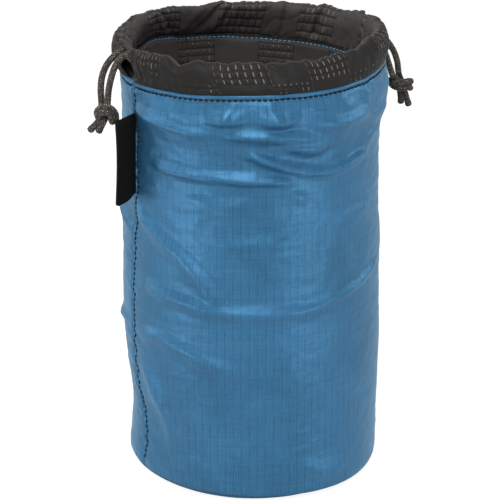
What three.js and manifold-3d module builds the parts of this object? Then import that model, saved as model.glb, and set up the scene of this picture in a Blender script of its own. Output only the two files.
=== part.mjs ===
import * as THREE from "three";
import { mergeVertices } from "three/addons/utils/BufferGeometryUtils.js";
import Module from "manifold-3d";

// A padded drawstring pouch for a camera lens. Its round wall has a cloth shell, a foam pad and a
// lining, each in a front and a back half sewn at the side seams. The collar on top is a tunnel in
// two halves, and two drawcords run round in it. Each leaves at one side seam, where its two ends
// are tied together in an overhand knot.
// Millimetres, +Z up. The origin is the centre of the base, the side seams lie on -X and +X, and
// the front faces -Y.

const wasm = await Module();
wasm.setup();

// Wall and base
const pouchRadius = 62; // outside of the shell at the bottom of the wall
const wallHeight = 203.7; // from the floor to the seam under the collar
const baseCornerRadius = 6; // round edge between wall and base
const shellCloth = 0.6;
const foamThickness = 5.5;
const liningCloth = 0.6;
const clothGap = 0.3; // between layers, halves and pieces that touch
const wallProfileShares = [
  // height as a share of the wall, then what the radius gains as a share of the pouch radius
  [0, 0],
  [0.3, 0.019],
  [0.84, -0.013],
  [1, 0.024],
];
const wallLevelShares = [0.14, 0.3, 0.48, 0.66, 0.84, 0.93, 1];

// Collar: a tunnel that leans in at the front and back, so the round wall ends in an oval mouth
const collarHeight = 14.3;
const collarHalfThickness = 4.3;
const collarCloth = 1.2; // two layers of lining cloth and their allowance
const mouthHalfWidth = 63; // middle of the rim, from seam to seam
const mouthHalfDepth = 52.5; // middle of the rim, front to back
const collarOutlineShares = [
  // outward, as a share of the half thickness, then up, as a share of the height
  [0.85, 0],
  [1, 0.3],
  [1, 0.6],
  [0.75, 0.87],
  [0.3, 1],
  [-0.3, 1],
  [-0.75, 0.87],
  [-1, 0.6],
  [-1, 0.3],
  [-0.85, 0],
];
const exitHalfGap = 7; // each outer tunnel end stands this far off the side seam, for the cords
const exitInnerShare = 0.4; // the inner face of the tunnel reaches closer to the seam
const exitShapeShares = [
  // height as a share of the collar, then the share of the gap that is open there
  [0, 0.45],
  [0.3, 1],
  [1, 1],
];

// Drawcords
const cordDiameter = 3;
const leftCordHeight = 9.9; // centre of the cord in the tunnel, above the collar's lower edge
const rightCordHeight = 5.6;
const cordEndOffset = 8.1; // from the side seam's plane to where the free strands start
const cordSides = 8;
const strandSteps = 14;

// Knots: both ends of a cord tied together as one in an overhand knot, a trefoil cut open
const knotRing = 2.9; // mean radius of the wraps
const knotSwing = 1.6; // how far the wraps go in and out of the mean radius
const knotDepth = 2.1; // how far they go to and fro
const knotCordDiameter = 2.8; // the braid is squeezed where it is pulled tight
const knotPlySpread = 1.25; // from the middle of the pair to each cord
const knotOpenAngle = 0.34; // where the ends leave the trefoil, in radians
const knotWraps = 26; // points along the trefoil
const knotPieces = 6; // short tubes that each cord is joined from
const knotPieceSteps = 6;
const knotCoreShare = 0.72; // the cords' squeezed core, as a share of the mean radius

// Label: a folded strip sewn in at the left seam, which stands out and leans to the front
const labelWidth = 12.8;
const labelHeight = 41.8;
const labelDrop = 18.6; // from the seam under the collar down to the top of the label
const labelDroop = 0.6; // the free edge hangs this much lower than the sewn one
const labelLayer = 0.35;
const labelSlit = 0.3;
const labelStandOff = 0.7; // from the wall, so that it can turn forward
const labelLean = THREE.MathUtils.degToRad(27);
const labelSeamTurn = THREE.MathUtils.degToRad(3); // the seam wanders this far to the front here

const halfSteps = 24; // facets round each half
const cornerSteps = 3;
const baseSides = 2 * halfSteps;

const wallThickness = shellCloth + foamThickness + liningCloth + 2 * clothGap;
const collarBase = wallHeight + clothGap;
const halves = { front: Math.PI, back: 0 }; // where each half starts, counted from +X

// Tools

// Straight or eased interpolation in a table of [position, value] shares
function shareAt(table, position, ease = (t) => t) {
  const last = table.length - 1;
  const next = Math.min(last, Math.max(1, table.findIndex(([p]) => p >= position)));
  const [p0, v0] = table[next - 1];
  const [p1, v1] = table[next];
  const t = THREE.MathUtils.clamp((position - p0) / (p1 - p0), 0, 1);
  return THREE.MathUtils.lerp(v0, v1, ease(t));
}

const smooth = (t) => t * t * (3 - 2 * t);

function bodyRadius(z) {
  return pouchRadius * (1 + shareAt(wallProfileShares, z / wallHeight, smooth));
}

function signedVolume(position, index) {
  const [a, b, c] = [new THREE.Vector3(), new THREE.Vector3(), new THREE.Vector3()];
  let sum = 0;
  for (let i = 0; i < index.length; i += 3) {
    a.fromArray(position, 3 * index[i]);
    b.fromArray(position, 3 * index[i + 1]);
    c.fromArray(position, 3 * index[i + 2]);
    sum += a.dot(b.cross(c)) / 6;
  }
  return sum;
}

// Joins closed rings of points into one solid. Each ring is a list of loops, the outline first and
// then any bore, and flat gives the same loops as 2-D points for the two end faces.
function loft(rings, flat) {
  const position = [];
  const starts = rings.map((loops) =>
    loops.map((loop) => {
      const start = position.length / 3;
      loop.forEach((p) => position.push(p.x, p.y, p.z));
      return start;
    }),
  );
  const index = [];
  for (let j = 0; j + 1 < rings.length; j++) {
    rings[j].forEach((loop, k) => {
      const [here, there] = [starts[j][k], starts[j + 1][k]];
      loop.forEach((_, i) => {
        const next = (i + 1) % loop.length;
        const quad = [here + i, here + next, there + next, here + i, there + next, there + i];
        index.push(...(k === 0 ? quad : quad.reverse()));
      });
    });
  }
  const [outline, ...bores] = flat;
  const cap = THREE.ShapeUtils.triangulateShape(outline, bores);
  const order = rings[0].flatMap((loop, k) => loop.map((_, i) => [k, i]));
  const corner = (j, n) => starts[j][order[n][0]] + order[n][1];
  const last = rings.length - 1;
  const turn = THREE.ShapeUtils.isClockWise(outline) ? -1 : 1;
  for (const face of cap) {
    const [a, b, c] = turn > 0 ? face : [...face].reverse();
    index.push(corner(0, c), corner(0, b), corner(0, a));
    index.push(corner(last, a), corner(last, b), corner(last, c));
  }
  if (signedVolume(position, index) < 0) index.reverse();
  const geometry = new THREE.BufferGeometry();
  geometry.setAttribute("position", new THREE.Float32BufferAttribute(position, 3));
  geometry.setIndex(index);
  return geometry;
}

const cordCourse = (points) => new THREE.CatmullRomCurve3(points, false, "centripetal");

function cordSection(diameter) {
  return Array.from({ length: cordSides }, (_, i) => {
    const angle = (2 * Math.PI * i) / cordSides;
    return new THREE.Vector2(Math.cos(angle), Math.sin(angle)).multiplyScalar(diameter / 2);
  });
}

// A round cord along a curve, with flat ends
function cordAlong(points, diameter, steps) {
  const section = new THREE.Shape(cordSection(diameter));
  const extrudePath = cordCourse(points);
  return new THREE.ExtrudeGeometry(section, { steps, extrudePath, bevelEnabled: false });
}

// The same cord in short lengths that share their end faces, for a cord that presses on itself
function cordLengths(points, diameter, lengths, stepsEach) {
  const section = cordSection(diameter);
  const course = cordCourse(points);
  const steps = lengths * stepsEach;
  const stops = course.getSpacedPoints(steps);
  const { normals, binormals } = course.computeFrenetFrames(steps, false);
  const rings = stops.map((stop, j) => [
    section.map(({ x, y }) =>
      stop.clone().addScaledVector(normals[j], x).addScaledVector(binormals[j], y),
    ),
  ]);
  return Array.from({ length: lengths }, (_, k) =>
    loft(rings.slice(k * stepsEach, (k + 1) * stepsEach + 1), [section]),
  );
}

function solidOf(geometry) {
  const bare = new THREE.BufferGeometry();
  bare.setAttribute("position", geometry.getAttribute("position").clone());
  if (geometry.index) bare.setIndex(geometry.index.clone());
  const merged = mergeVertices(bare, 1e-4);
  return new wasm.Manifold(
    new wasm.Mesh({
      numProp: 3,
      vertProperties: Float32Array.from(merged.attributes.position.array),
      triVerts: Uint32Array.from(merged.index.array),
    }),
  );
}

// Joins pieces into one solid, with no void left inside where they press on each other
function joined(geometries) {
  const whole = geometries.map(solidOf).reduce((sum, piece) => sum.add(piece));
  const surfaces = whole.decompose().sort((a, b) => b.volume() - a.volume());
  const mesh = surfaces[0].getMesh();
  const geometry = new THREE.BufferGeometry();
  geometry.setAttribute("position", new THREE.BufferAttribute(mesh.vertProperties, 3));
  geometry.setIndex(new THREE.BufferAttribute(mesh.triVerts, 1));
  return geometry;
}

// Wall layers

// One face of a layer from the base up, as [radius, height], at a depth under the shell's outside
function layerFace(depth, foot) {
  const face = [];
  const cornerCentre = pouchRadius - baseCornerRadius;
  const bend = baseCornerRadius - depth;
  if (bend > 0) {
    for (let i = 0; i <= cornerSteps; i++) {
      const angle = ((i / cornerSteps) * Math.PI) / 2;
      const out = cornerCentre + bend * Math.sin(angle);
      face.push(new THREE.Vector2(out, baseCornerRadius - bend * Math.cos(angle)));
    }
  } else {
    face.push(new THREE.Vector2(pouchRadius - depth, foot));
  }
  for (const share of wallLevelShares) {
    const z = share * wallHeight;
    face.push(new THREE.Vector2(bodyRadius(z) - depth, z));
  }
  return face;
}

function wallPanel(half, outerDepth, thickness, foot) {
  const outer = layerFace(outerDepth, foot);
  const inner = layerFace(outerDepth + thickness, foot);
  const section = [...outer, ...inner.reverse()];
  const rings = [];
  for (let j = 0; j <= halfSteps; j++) {
    const loop = section.map(({ x: radius, y: z }) => {
      const seam = clothGap / 2 / radius;
      const angle = halves[half] + seam + (j / halfSteps) * (Math.PI - 2 * seam);
      return new THREE.Vector3(radius * Math.cos(angle), radius * Math.sin(angle), z);
    });
    rings.push([loop]);
  }
  return loft(rings, [section]);
}

function baseDisc(radius, bottom, thickness) {
  const disc = new THREE.CylinderGeometry(radius, radius, thickness, baseSides);
  disc.rotateX(Math.PI / 2);
  disc.translate(0, 0, bottom + thickness / 2);
  return disc;
}

const foamDepth = shellCloth + clothGap;
const liningDepth = foamDepth + foamThickness + clothGap;
const foamFoot = foamDepth;
const liningFoot = foamFoot + foamThickness + clothGap;

// Collar

// The middle of the tunnel at a share of its height: half width and half depth of the oval
function collarOval(share) {
  const wallMiddle = bodyRadius(wallHeight) - wallThickness / 2;
  return {
    width: THREE.MathUtils.lerp(wallMiddle, mouthHalfWidth, share),
    depth: THREE.MathUtils.lerp(wallMiddle, mouthHalfDepth, share),
  };
}

function collarHalf(half) {
  const outline = collarOutlineShares.map(
    ([out, up]) => new THREE.Vector2(out * collarHalfThickness, up * collarHeight),
  );
  const boreHalf = collarHalfThickness - collarCloth;
  const boreHeight = collarHeight - 2 * collarCloth;
  const bore = collarOutlineShares.map(
    ([out, up]) => new THREE.Vector2(out * boreHalf, collarCloth + up * boreHeight),
  );
  const rings = [];
  for (let j = 0; j <= halfSteps; j++) {
    const place = ({ x: out, y: up }) => {
      const share = up / collarHeight;
      const { width, depth } = collarOval(share);
      const outward = (out / collarHalfThickness + 1) / 2;
      const facing = THREE.MathUtils.lerp(exitInnerShare, 1, outward);
      const open = exitHalfGap * facing * shareAt(exitShapeShares, share);
      const setBack = Math.asin(open / (depth + out));
      const angle = halves[half] + setBack + (j / halfSteps) * (Math.PI - 2 * setBack);
      const x = (width + out) * Math.cos(angle);
      return new THREE.Vector3(x, (depth + out) * Math.sin(angle), collarBase + up);
    };
    rings.push([outline.map(place), bore.map(place)]);
  }
  return loft(rings, [outline, bore]);
}

// Drawcords in the tunnel

// side is -1 where the cord's ends leave at the left seam and 1 at the right
function tunnelCord(side, height) {
  const { width, depth } = collarOval(height / collarHeight);
  const start = Math.asin(cordEndOffset / depth);
  const points = [];
  for (let i = 0; i <= 2 * halfSteps; i++) {
    const angle = start + (i / halfSteps) * (Math.PI - start);
    const x = side * width * Math.cos(angle);
    points.push(new THREE.Vector3(x, depth * Math.sin(angle), collarBase + height));
  }
  return cordAlong(points, cordDiameter, 2 * halfSteps);
}

// Free strands, from the tunnel to the knot
const strandRoutes = {
  left_strand_back: [
    [-61.2, 7.8, 213.9],
    [-62.4, 5.1, 213.9],
    [-64.8, 3.2, 213.7],
    [-68.6, 2.4, 212.2],
    [-72.6, 2.2, 208.6],
    [-75.3, 2, 203.4],
    [-76.3, 1.8, 197.3],
    [-76.2, 1.6, 191.5],
  ],
  left_strand_front: [
    [-61.2, -7.8, 213.9],
    [-62.3, -5.1, 213.9],
    [-64.4, -3.2, 213.6],
    [-67.4, -2.1, 211.9],
    [-70.4, -2, 208.4],
    [-72.5, -1.9, 203.2],
    [-73.9, -1.7, 197.3],
    [-74.5, -1.6, 191.5],
  ],
  right_strand_back: [
    [60.4, 7.8, 209.6],
    [61.6, 5.1, 209.6],
    [64.2, 3.2, 209.4],
    [69, 2.4, 207.5],
    [75, 2.3, 203.2],
    [79.4, 2.1, 197.4],
    [81.7, 1.8, 191.6],
    [82.3, 1.6, 187.4],
  ],
  right_strand_front: [
    [60.4, -7.8, 209.6],
    [61.6, -5.1, 209.6],
    [63.9, -3.2, 209.2],
    [67.8, -2.2, 206.2],
    [71, -2, 200.9],
    [73.6, -1.8, 195],
    [76.4, -1.7, 187.6],
  ],
};

const routePoints = (route) => route.map((p) => new THREE.Vector3(...p));

// Knots: where each one hangs, how far its wraps are stretched, and where its cut ends point
const knots = {
  left: {
    side: -1,
    centre: [-73.8, 0, 185.3],
    wideShare: 1,
    tallShare: 0.95,
    tails: {
      back: [
        [-79.4, 2.2, 182],
        [-82.7, 1.4, 178],
      ],
      front: [
        [-77.6, -0.8, 181],
        [-79, -1.6, 177.4],
      ],
    },
  },
  right: {
    side: 1,
    centre: [81.6, 0, 181],
    wideShare: 1.12,
    tallShare: 0.88,
    tails: {
      back: [
        [85.4, 2.4, 174.6],
        [84, 1.6, 168.6],
      ],
      front: [
        [86.6, -0.6, 173.6],
        [87.6, -1.6, 167],
      ],
    },
  },
};

// The open trefoil of one cord of the pair, from where the strand enters to where the tail leaves.
// The two cords lie side by side on the knot's round surface.
function knotWrap({ side, centre, wideShare, tallShare }, ply) {
  const at = (turn) => {
    const reach = knotRing + knotSwing * Math.cos(3 * turn);
    return new THREE.Vector3(
      side * wideShare * reach * Math.cos(2 * turn),
      knotDepth * Math.sin(3 * turn),
      tallShare * reach * Math.sin(2 * turn),
    );
  };
  const points = [];
  const quarter = Math.PI / 2;
  for (let i = 0; i <= knotWraps; i++) {
    const share = i / knotWraps;
    const turn = 4 * quarter - knotOpenAngle - share * (4 * quarter - 2 * knotOpenAngle);
    const middle = at(turn);
    const ahead = at(turn - quarter / knotWraps).sub(middle);
    const spread = ahead.cross(middle).normalize().multiplyScalar(-side * ply * knotPlySpread);
    points.push(middle.add(spread).add(new THREE.Vector3(...centre)));
  }
  return points;
}

function knot(name) {
  const shape = knots[name];
  const tubes = [];
  for (const [face, ply] of [["back", 1], ["front", -1]]) {
    const strand = routePoints(strandRoutes[`${name}_strand_${face}`]);
    const [before, end] = strand.slice(-2);
    const down = end.clone().sub(before).normalize();
    const entry = end.clone().addScaledVector(down, clothGap);
    const lead = entry.clone().addScaledVector(down, knotCordDiameter / 2);
    const tail = routePoints(shape.tails[face]);
    const points = [entry, lead, ...knotWrap(shape, ply), ...tail];
    tubes.push(...cordLengths(points, knotCordDiameter, knotPieces, knotPieceSteps));
  }
  const core = new THREE.SphereGeometry(knotRing * knotCoreShare, 12, 8);
  core.translate(...shape.centre);
  return joined([...tubes, core]);
}

// Label
function sideLabel() {
  const half = labelLayer + labelSlit / 2;
  const slit = labelSlit / 2;
  const fold = labelWidth - half;
  const outline = new THREE.Shape();
  outline.moveTo(0, -half);
  outline.lineTo(fold, -half);
  outline.absarc(fold, 0, half, -Math.PI / 2, Math.PI / 2, false);
  outline.lineTo(0, half);
  outline.lineTo(0, slit);
  outline.lineTo(fold, slit);
  outline.absarc(fold, 0, slit, Math.PI / 2, -Math.PI / 2, true);
  outline.lineTo(0, -slit);
  outline.closePath();
  const label = new THREE.ExtrudeGeometry(outline, {
    depth: labelHeight,
    bevelEnabled: false,
    curveSegments: 4,
  });
  const droop = new THREE.Matrix4().makeShear(0, -labelDroop / labelWidth, 0, 0, 0, 0);
  return label.applyMatrix4(droop);
}

// Materials
const cloth = (color, roughness) => new THREE.MeshStandardMaterial({ color, roughness, metalness: 0 });
const look = {
  shell: () => cloth(0x3f7fae, 0.55),
  foam: () => cloth(0xd9d9d4, 0.95),
  lining: () => cloth(0x35312f, 0.8),
  cord: () => cloth(0x4a443d, 0.9),
  label: () => cloth(0x1c1a19, 0.85),
};

// Assembly
const pouch = new THREE.Group();

function add(name, geometry, material, parent = pouch) {
  const mesh = new THREE.Mesh(geometry, material());
  mesh.name = name;
  parent.add(mesh);
  return mesh;
}

for (const half of Object.keys(halves)) {
  add(`${half}_shell_panel`, wallPanel(half, 0, shellCloth, 0), look.shell);
  add(`${half}_foam_panel`, wallPanel(half, foamDepth, foamThickness, foamFoot), look.foam);
  add(`${half}_lining_panel`, wallPanel(half, liningDepth, liningCloth, liningFoot), look.lining);
  add(`${half}_collar`, collarHalf(half), look.lining);
}

const shellBaseRadius = pouchRadius - baseCornerRadius - clothGap;
const foamBaseRadius = pouchRadius - foamDepth - foamThickness - clothGap;
const liningBaseRadius = pouchRadius - liningDepth - liningCloth - clothGap;
add("shell_base", baseDisc(shellBaseRadius, 0, shellCloth), look.shell);
add("base_foam", baseDisc(foamBaseRadius, foamFoot, foamThickness), look.foam);
add("lining_base", baseDisc(liningBaseRadius, liningFoot, liningCloth), look.lining);

add("left_drawcord", tunnelCord(-1, leftCordHeight), look.cord);
add("right_drawcord", tunnelCord(1, rightCordHeight), look.cord);
for (const [name, route] of Object.entries(strandRoutes)) {
  add(name, cordAlong(routePoints(route), cordDiameter, strandSteps), look.cord);
}
for (const name of Object.keys(knots)) add(`${name}_knot`, knot(name), look.cord);

const labelSeam = new THREE.Group();
const labelBottom = wallHeight - labelDrop - labelHeight;
const labelRoot = bodyRadius(labelBottom) + labelStandOff + labelLayer + labelSlit / 2;
const upright = new THREE.Vector3(0, 0, 1);
labelSeam.position.set(-labelRoot, 0, labelBottom).applyAxisAngle(upright, labelSeamTurn);
labelSeam.rotation.z = Math.PI + labelLean;
pouch.add(labelSeam);
add("side_label", sideLabel(), look.label, labelSeam);

export default pouch;
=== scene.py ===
import math

import bpy
import numpy as np
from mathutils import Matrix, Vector


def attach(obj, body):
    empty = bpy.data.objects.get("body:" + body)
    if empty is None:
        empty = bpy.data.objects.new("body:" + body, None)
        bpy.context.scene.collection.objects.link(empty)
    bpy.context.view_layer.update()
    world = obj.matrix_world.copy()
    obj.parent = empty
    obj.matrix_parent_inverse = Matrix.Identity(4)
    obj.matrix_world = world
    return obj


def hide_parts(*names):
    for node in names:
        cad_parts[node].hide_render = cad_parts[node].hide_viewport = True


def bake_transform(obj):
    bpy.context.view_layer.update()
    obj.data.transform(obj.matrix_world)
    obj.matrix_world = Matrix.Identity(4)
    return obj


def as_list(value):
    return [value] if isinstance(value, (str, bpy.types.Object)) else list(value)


# A padded drawstring pouch: satin shell, foam, quilted dark lining and collar, two knotted
# drawcords and a folded label. Shapes are worked out in millimetres and set in metres.
# Angles round the pouch are in degrees from the front (-Y), positive towards +X.

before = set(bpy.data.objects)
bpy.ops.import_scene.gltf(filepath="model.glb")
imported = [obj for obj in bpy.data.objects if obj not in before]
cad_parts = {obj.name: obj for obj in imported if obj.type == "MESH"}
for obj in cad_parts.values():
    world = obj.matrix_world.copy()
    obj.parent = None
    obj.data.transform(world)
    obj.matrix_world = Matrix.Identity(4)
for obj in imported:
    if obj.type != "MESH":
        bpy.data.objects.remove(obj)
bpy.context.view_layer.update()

MM = 0.001
RADIUS = 62.0
GIRTH = 2 * math.pi * RADIUS
DEGREE = math.radians(RADIUS)  # mm along the wall for one degree round it
LEFT, RIGHT = -90.0, 90.0  # the side seams
SPANS = {"front": (LEFT, RIGHT), "back": (RIGHT, LEFT + 360)}  # each half, from seam to seam

# Camera
VIEW_ANGLE = -27.0
CAMERA_DISTANCE = 905.0
CAMERA_HEIGHT = 443.0
CAMERA_LENS = 142.0
SENSOR = 36.0
AIM_HEIGHT = 106.45
AIM_SIDE = -0.49  # the pouch's axis is this little off the middle of the frame


def round_axis(angle, radius, height):
    """Position at an angle round the pouch, as an array of points."""
    turn = np.radians(angle)
    x, y, z = np.broadcast_arrays(radius * np.sin(turn), -radius * np.cos(turn), height)
    return np.stack([x, y, z], axis=-1).astype(float)


def place_at(thing, place, aim):
    """Put a camera or lamp into the scene, looking at a point."""
    thing.location = place
    thing.rotation_euler = (aim - place).to_track_quat("-Z", "Y").to_euler()
    bpy.context.collection.objects.link(thing)


camera_data = bpy.data.cameras.new("camera")
camera_data.lens = CAMERA_LENS
camera_data.sensor_width = SENSOR
camera = bpy.data.objects.new("camera", camera_data)
place_at(
    camera,
    Vector(round_axis(VIEW_ANGLE, CAMERA_DISTANCE, CAMERA_HEIGHT) * MM),
    Vector(round_axis(VIEW_ANGLE + RIGHT, AIM_SIDE, AIM_HEIGHT) * MM),
)
bpy.context.scene.camera = camera

# Curves, noise and meshes
CURVE_STEPS = 24  # fine steps between two points of a curve


def smoothstep(low, high, value):
    t = np.clip((value - low) / (high - low), 0, 1)
    return t * t * (3 - 2 * t)


def bump(value, centre, width):
    """A bell of height 1."""
    return np.exp(-(((value - centre) / width) ** 2))


def table_at(table, value):
    """Smooth interpolation in a short list of (position, value)."""
    places, values = zip(*table)
    low = np.clip(np.searchsorted(places, value, side="right") - 1, 0, len(places) - 2)
    p0, p1 = np.take(places, low), np.take(places, low + 1)
    v0, v1 = np.take(values, low), np.take(values, low + 1)
    return v0 + (v1 - v0) * smoothstep(0, 1, (value - p0) / (p1 - p0))


def ripples(angle, height, seed, wave, upright=1.0, count=28):
    """Smooth seeded noise of about -1 to 1. upright above 1 draws its waves out in height."""
    rng = np.random.default_rng(seed)
    total = 0.0
    for _ in range(count):
        length = wave * rng.uniform(0.55, 1.8)
        heading = rng.uniform(0, math.pi)
        turns = round(math.cos(heading) * GIRTH / length)
        rise = math.sin(heading) / (length * upright)
        phase = rng.uniform(0, 2 * math.pi)
        total = total + np.cos(turns * np.radians(angle) + 2 * math.pi * rise * height + phase)
    return total / math.sqrt(2 * count)


def creases(angle, height, seed, wave, upright=1.0, sharp=9.0):
    """Thin crest lines, 0 to 1, where smooth noise passes through zero."""
    return np.exp(-sharp * np.abs(ripples(angle, height, seed, wave, upright)))


def run_along(path):
    """Distance of each point of a path from its start."""
    return np.concatenate([[0], np.cumsum(np.linalg.norm(np.diff(path, axis=0), axis=1))])


def length_of(path):
    return float(run_along(path)[-1])


def resample(points, spacing=None, count=None):
    """Points at even steps on a smooth curve through the given ones."""
    points = np.asarray(points, float)
    padded = np.vstack([2 * points[0] - points[1], points, 2 * points[-1] - points[-2]])
    fine = []
    for i in range(len(points) - 1):
        near = padded[i : i + 4]
        marks = np.concatenate([[0], np.cumsum(np.linalg.norm(np.diff(near, axis=0), axis=1) ** 0.5)])

        def between(p, q, first, last):
            return ((marks[last] - at) * p + (at - marks[first]) * q) / (marks[last] - marks[first])

        for at in np.linspace(marks[1], marks[2], CURVE_STEPS, endpoint=False):
            wide = [between(near[j], near[j + 1], j, j + 1) for j in range(3)]
            tight = [between(wide[j], wide[j + 1], j, j + 2) for j in range(2)]
            fine.append(between(*tight, 1, 2))
    fine = np.array([*fine, points[-1]])
    run = run_along(fine)
    steps = count or max(2, int(round(run[-1] / spacing)) + 1)
    even = np.linspace(0, run[-1], steps)
    return np.stack([np.interp(even, run, column) for column in fine.T], axis=1)


def make_mesh(name, points, faces, loops_uv=None):
    mesh = bpy.data.meshes.new(name)
    mesh.from_pydata((np.asarray(points) * MM).tolist(), [], faces)
    if loops_uv is not None:
        layer = mesh.uv_layers.new(name="UVMap")
        layer.data.foreach_set("uv", np.asarray(loops_uv, np.float32).ravel())
    mesh.polygons.foreach_set("use_smooth", [True] * len(mesh.polygons))
    mesh.update()
    piece = bpy.data.objects.new(name, mesh)
    bpy.context.collection.objects.link(piece)
    return piece


def grid_piece(name, points, uv, closed=False, caps=False, flip=False):
    """A sheet, or with closed a tube, from rows of points. uv has one column more when closed."""
    rows, cols = points.shape[:2]
    r, c = np.meshgrid(np.arange(rows - 1), np.arange(cols if closed else cols - 1), indexing="ij")
    r, c = r.ravel(), c.ravel()
    n = (c + 1) % cols
    quads = np.stack([r * cols + c, r * cols + n, (r + 1) * cols + n, (r + 1) * cols + c], axis=1)
    loops = np.stack([uv[r, c], uv[r, c + 1], uv[r + 1, c + 1], uv[r + 1, c]], axis=1)
    if flip:
        quads, loops = quads[:, ::-1], loops[:, ::-1]
    faces, loops = quads.tolist(), loops.reshape(-1, 2)
    if caps:
        first, last = list(range(cols)), list(range((rows - 1) * cols, rows * cols))
        faces += [first, last[::-1]] if flip else [first[::-1], last]
        loops = np.vstack([loops, np.repeat(uv[:1, 0], cols, 0), np.repeat(uv[-1:, 0], cols, 0)])
    return make_mesh(name, points.reshape(-1, 3), faces, loops)


def finish_piece(piece, body, slot, material, *nodes):
    piece.data.materials.append(material)
    if body:
        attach(piece, body)
    if nodes:
        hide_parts(*nodes)


# Materials
WHITE = (1, 1, 1, 1)


def srgb(text):
    """A linear colour from its six hex digits."""
    parts = [int(text[i : i + 2], 16) / 255 for i in (0, 2, 4)]
    return tuple(p / 12.92 if p <= 0.04045 else ((p + 0.055) / 1.055) ** 2.4 for p in parts) + (1,)


class Value:
    """What a shader node gives, for use in sums."""

    def __init__(self, graph, socket):
        self.graph, self.socket = graph, socket

    def __add__(self, other):
        return self.graph.math("ADD", self, other)

    def __sub__(self, other):
        return self.graph.math("SUBTRACT", self, other)

    def __rsub__(self, other):
        return self.graph.math("SUBTRACT", other, self)

    def __mul__(self, other):
        return self.graph.math("MULTIPLY", self, other)

    def __truediv__(self, other):
        return self.graph.math("DIVIDE", self, other)

    __radd__ = __add__


class Graph:
    """The shader nodes of a material or a world. A colour can be given as hex digits."""

    def __init__(self, owner):
        owner.use_nodes = True
        self.owner, self.tree = owner, owner.node_tree

    def feed(self, socket, value):
        if isinstance(value, Value):
            self.tree.links.new(value.socket, socket)
        else:
            socket.default_value = srgb(value) if isinstance(value, str) else value

    def add(self, kind, settings=None, **inputs):
        """A node with inputs by name, _ standing for a space."""
        node = self.tree.nodes.new("ShaderNode" + kind)
        for key, value in (settings or {}).items():
            setattr(node, key, value)
        for key, value in inputs.items():
            self.feed(node.inputs[key.replace("_", " ")], value)
        return node

    def give(self, kind, settings=None, which=0, **inputs):
        return Value(self, self.add(kind, settings, **inputs).outputs[which])

    def join(self, kind, settings, places, values, which=0):
        """What a node makes of values at its numbered inputs."""
        node = self.add(kind, settings)
        for place, value in zip(places, values):
            self.feed(node.inputs[place], value)
        return Value(self, node.outputs[which])

    def math(self, operation, *values):
        return self.join("Math", {"operation": operation}, range(3), values)

    def mix(self, share, low, high):
        return self.join("Mix", {"data_type": "RGBA"}, (0, 6, 7), (share, low, high), which=2)

    def uv(self):
        both = self.give("UVMap")
        return self.give("SeparateXYZ", Vector=both), self.give("SeparateXYZ", which=1, Vector=both)

    def place(self):
        return self.give("TexCoord", which="Object")

    def pair(self, x, y):
        return self.give("CombineXYZ", X=x, Y=y)

    def noise(self, vector, scale, detail=3.0, roughness=0.5):
        return self.give("TexNoise", Vector=vector, Scale=scale, Detail=detail, Roughness=roughness)

    def chance(self, x, y):
        """An even chance, 0 to 1, for each pair of whole numbers."""
        return self.give("TexWhiteNoise", {"noise_dimensions": "3D"}, Vector=self.pair(x, y))

    def band(self, value, low, high):
        """0 below low, 1 above high, smooth between."""
        smooth = {"interpolation_type": "SMOOTHSTEP"}
        return self.give("MapRange", smooth, Value=value, From_Min=low, From_Max=high)

    def line(self, value, half):
        """1 at each whole number of value, falling to 0 at half of a step to either side."""
        return 1.0 - self.band(self.math("ABSOLUTE", value - self.math("ROUND", value)), half * 0.4, half)

    def most(self, first, *others):
        for other in others:
            first = self.math("MAXIMUM", first, other)
        return first

    def bump(self, height, distance, strength=1.0, **under):
        return self.give("Bump", Height=height, Distance=distance, Strength=strength, **under)

    def finish(self, **inputs):
        """Set the inputs of the material's own shader."""
        for key, value in inputs.items():
            self.feed(self.tree.nodes["Principled BSDF"].inputs[key.replace("_", " ")], value)
        return self.owner

    def seen(self):
        """1 for the rays that see a backdrop: the camera's, a gloss's and those through glass."""
        kinds = ("Camera", "Transmission", "Glossy")
        return self.most(*(self.give("LightPath", which=f"Is {kind} Ray") for kind in kinds))

    def backdrop(self, output, unseen, seen):
        """One shader for the rays that light the pouch and another for those that see it."""
        both = self.join("MixShader", None, range(3), (self.seen(), unseen, seen))
        self.feed(self.add(output).inputs[0], both)


def new_graph(name):
    return Graph(bpy.data.materials.new(name))


RIP_ACROSS = 3.75  # mm between the upright ripstop threads
RIP_UP = 5.0


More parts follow.
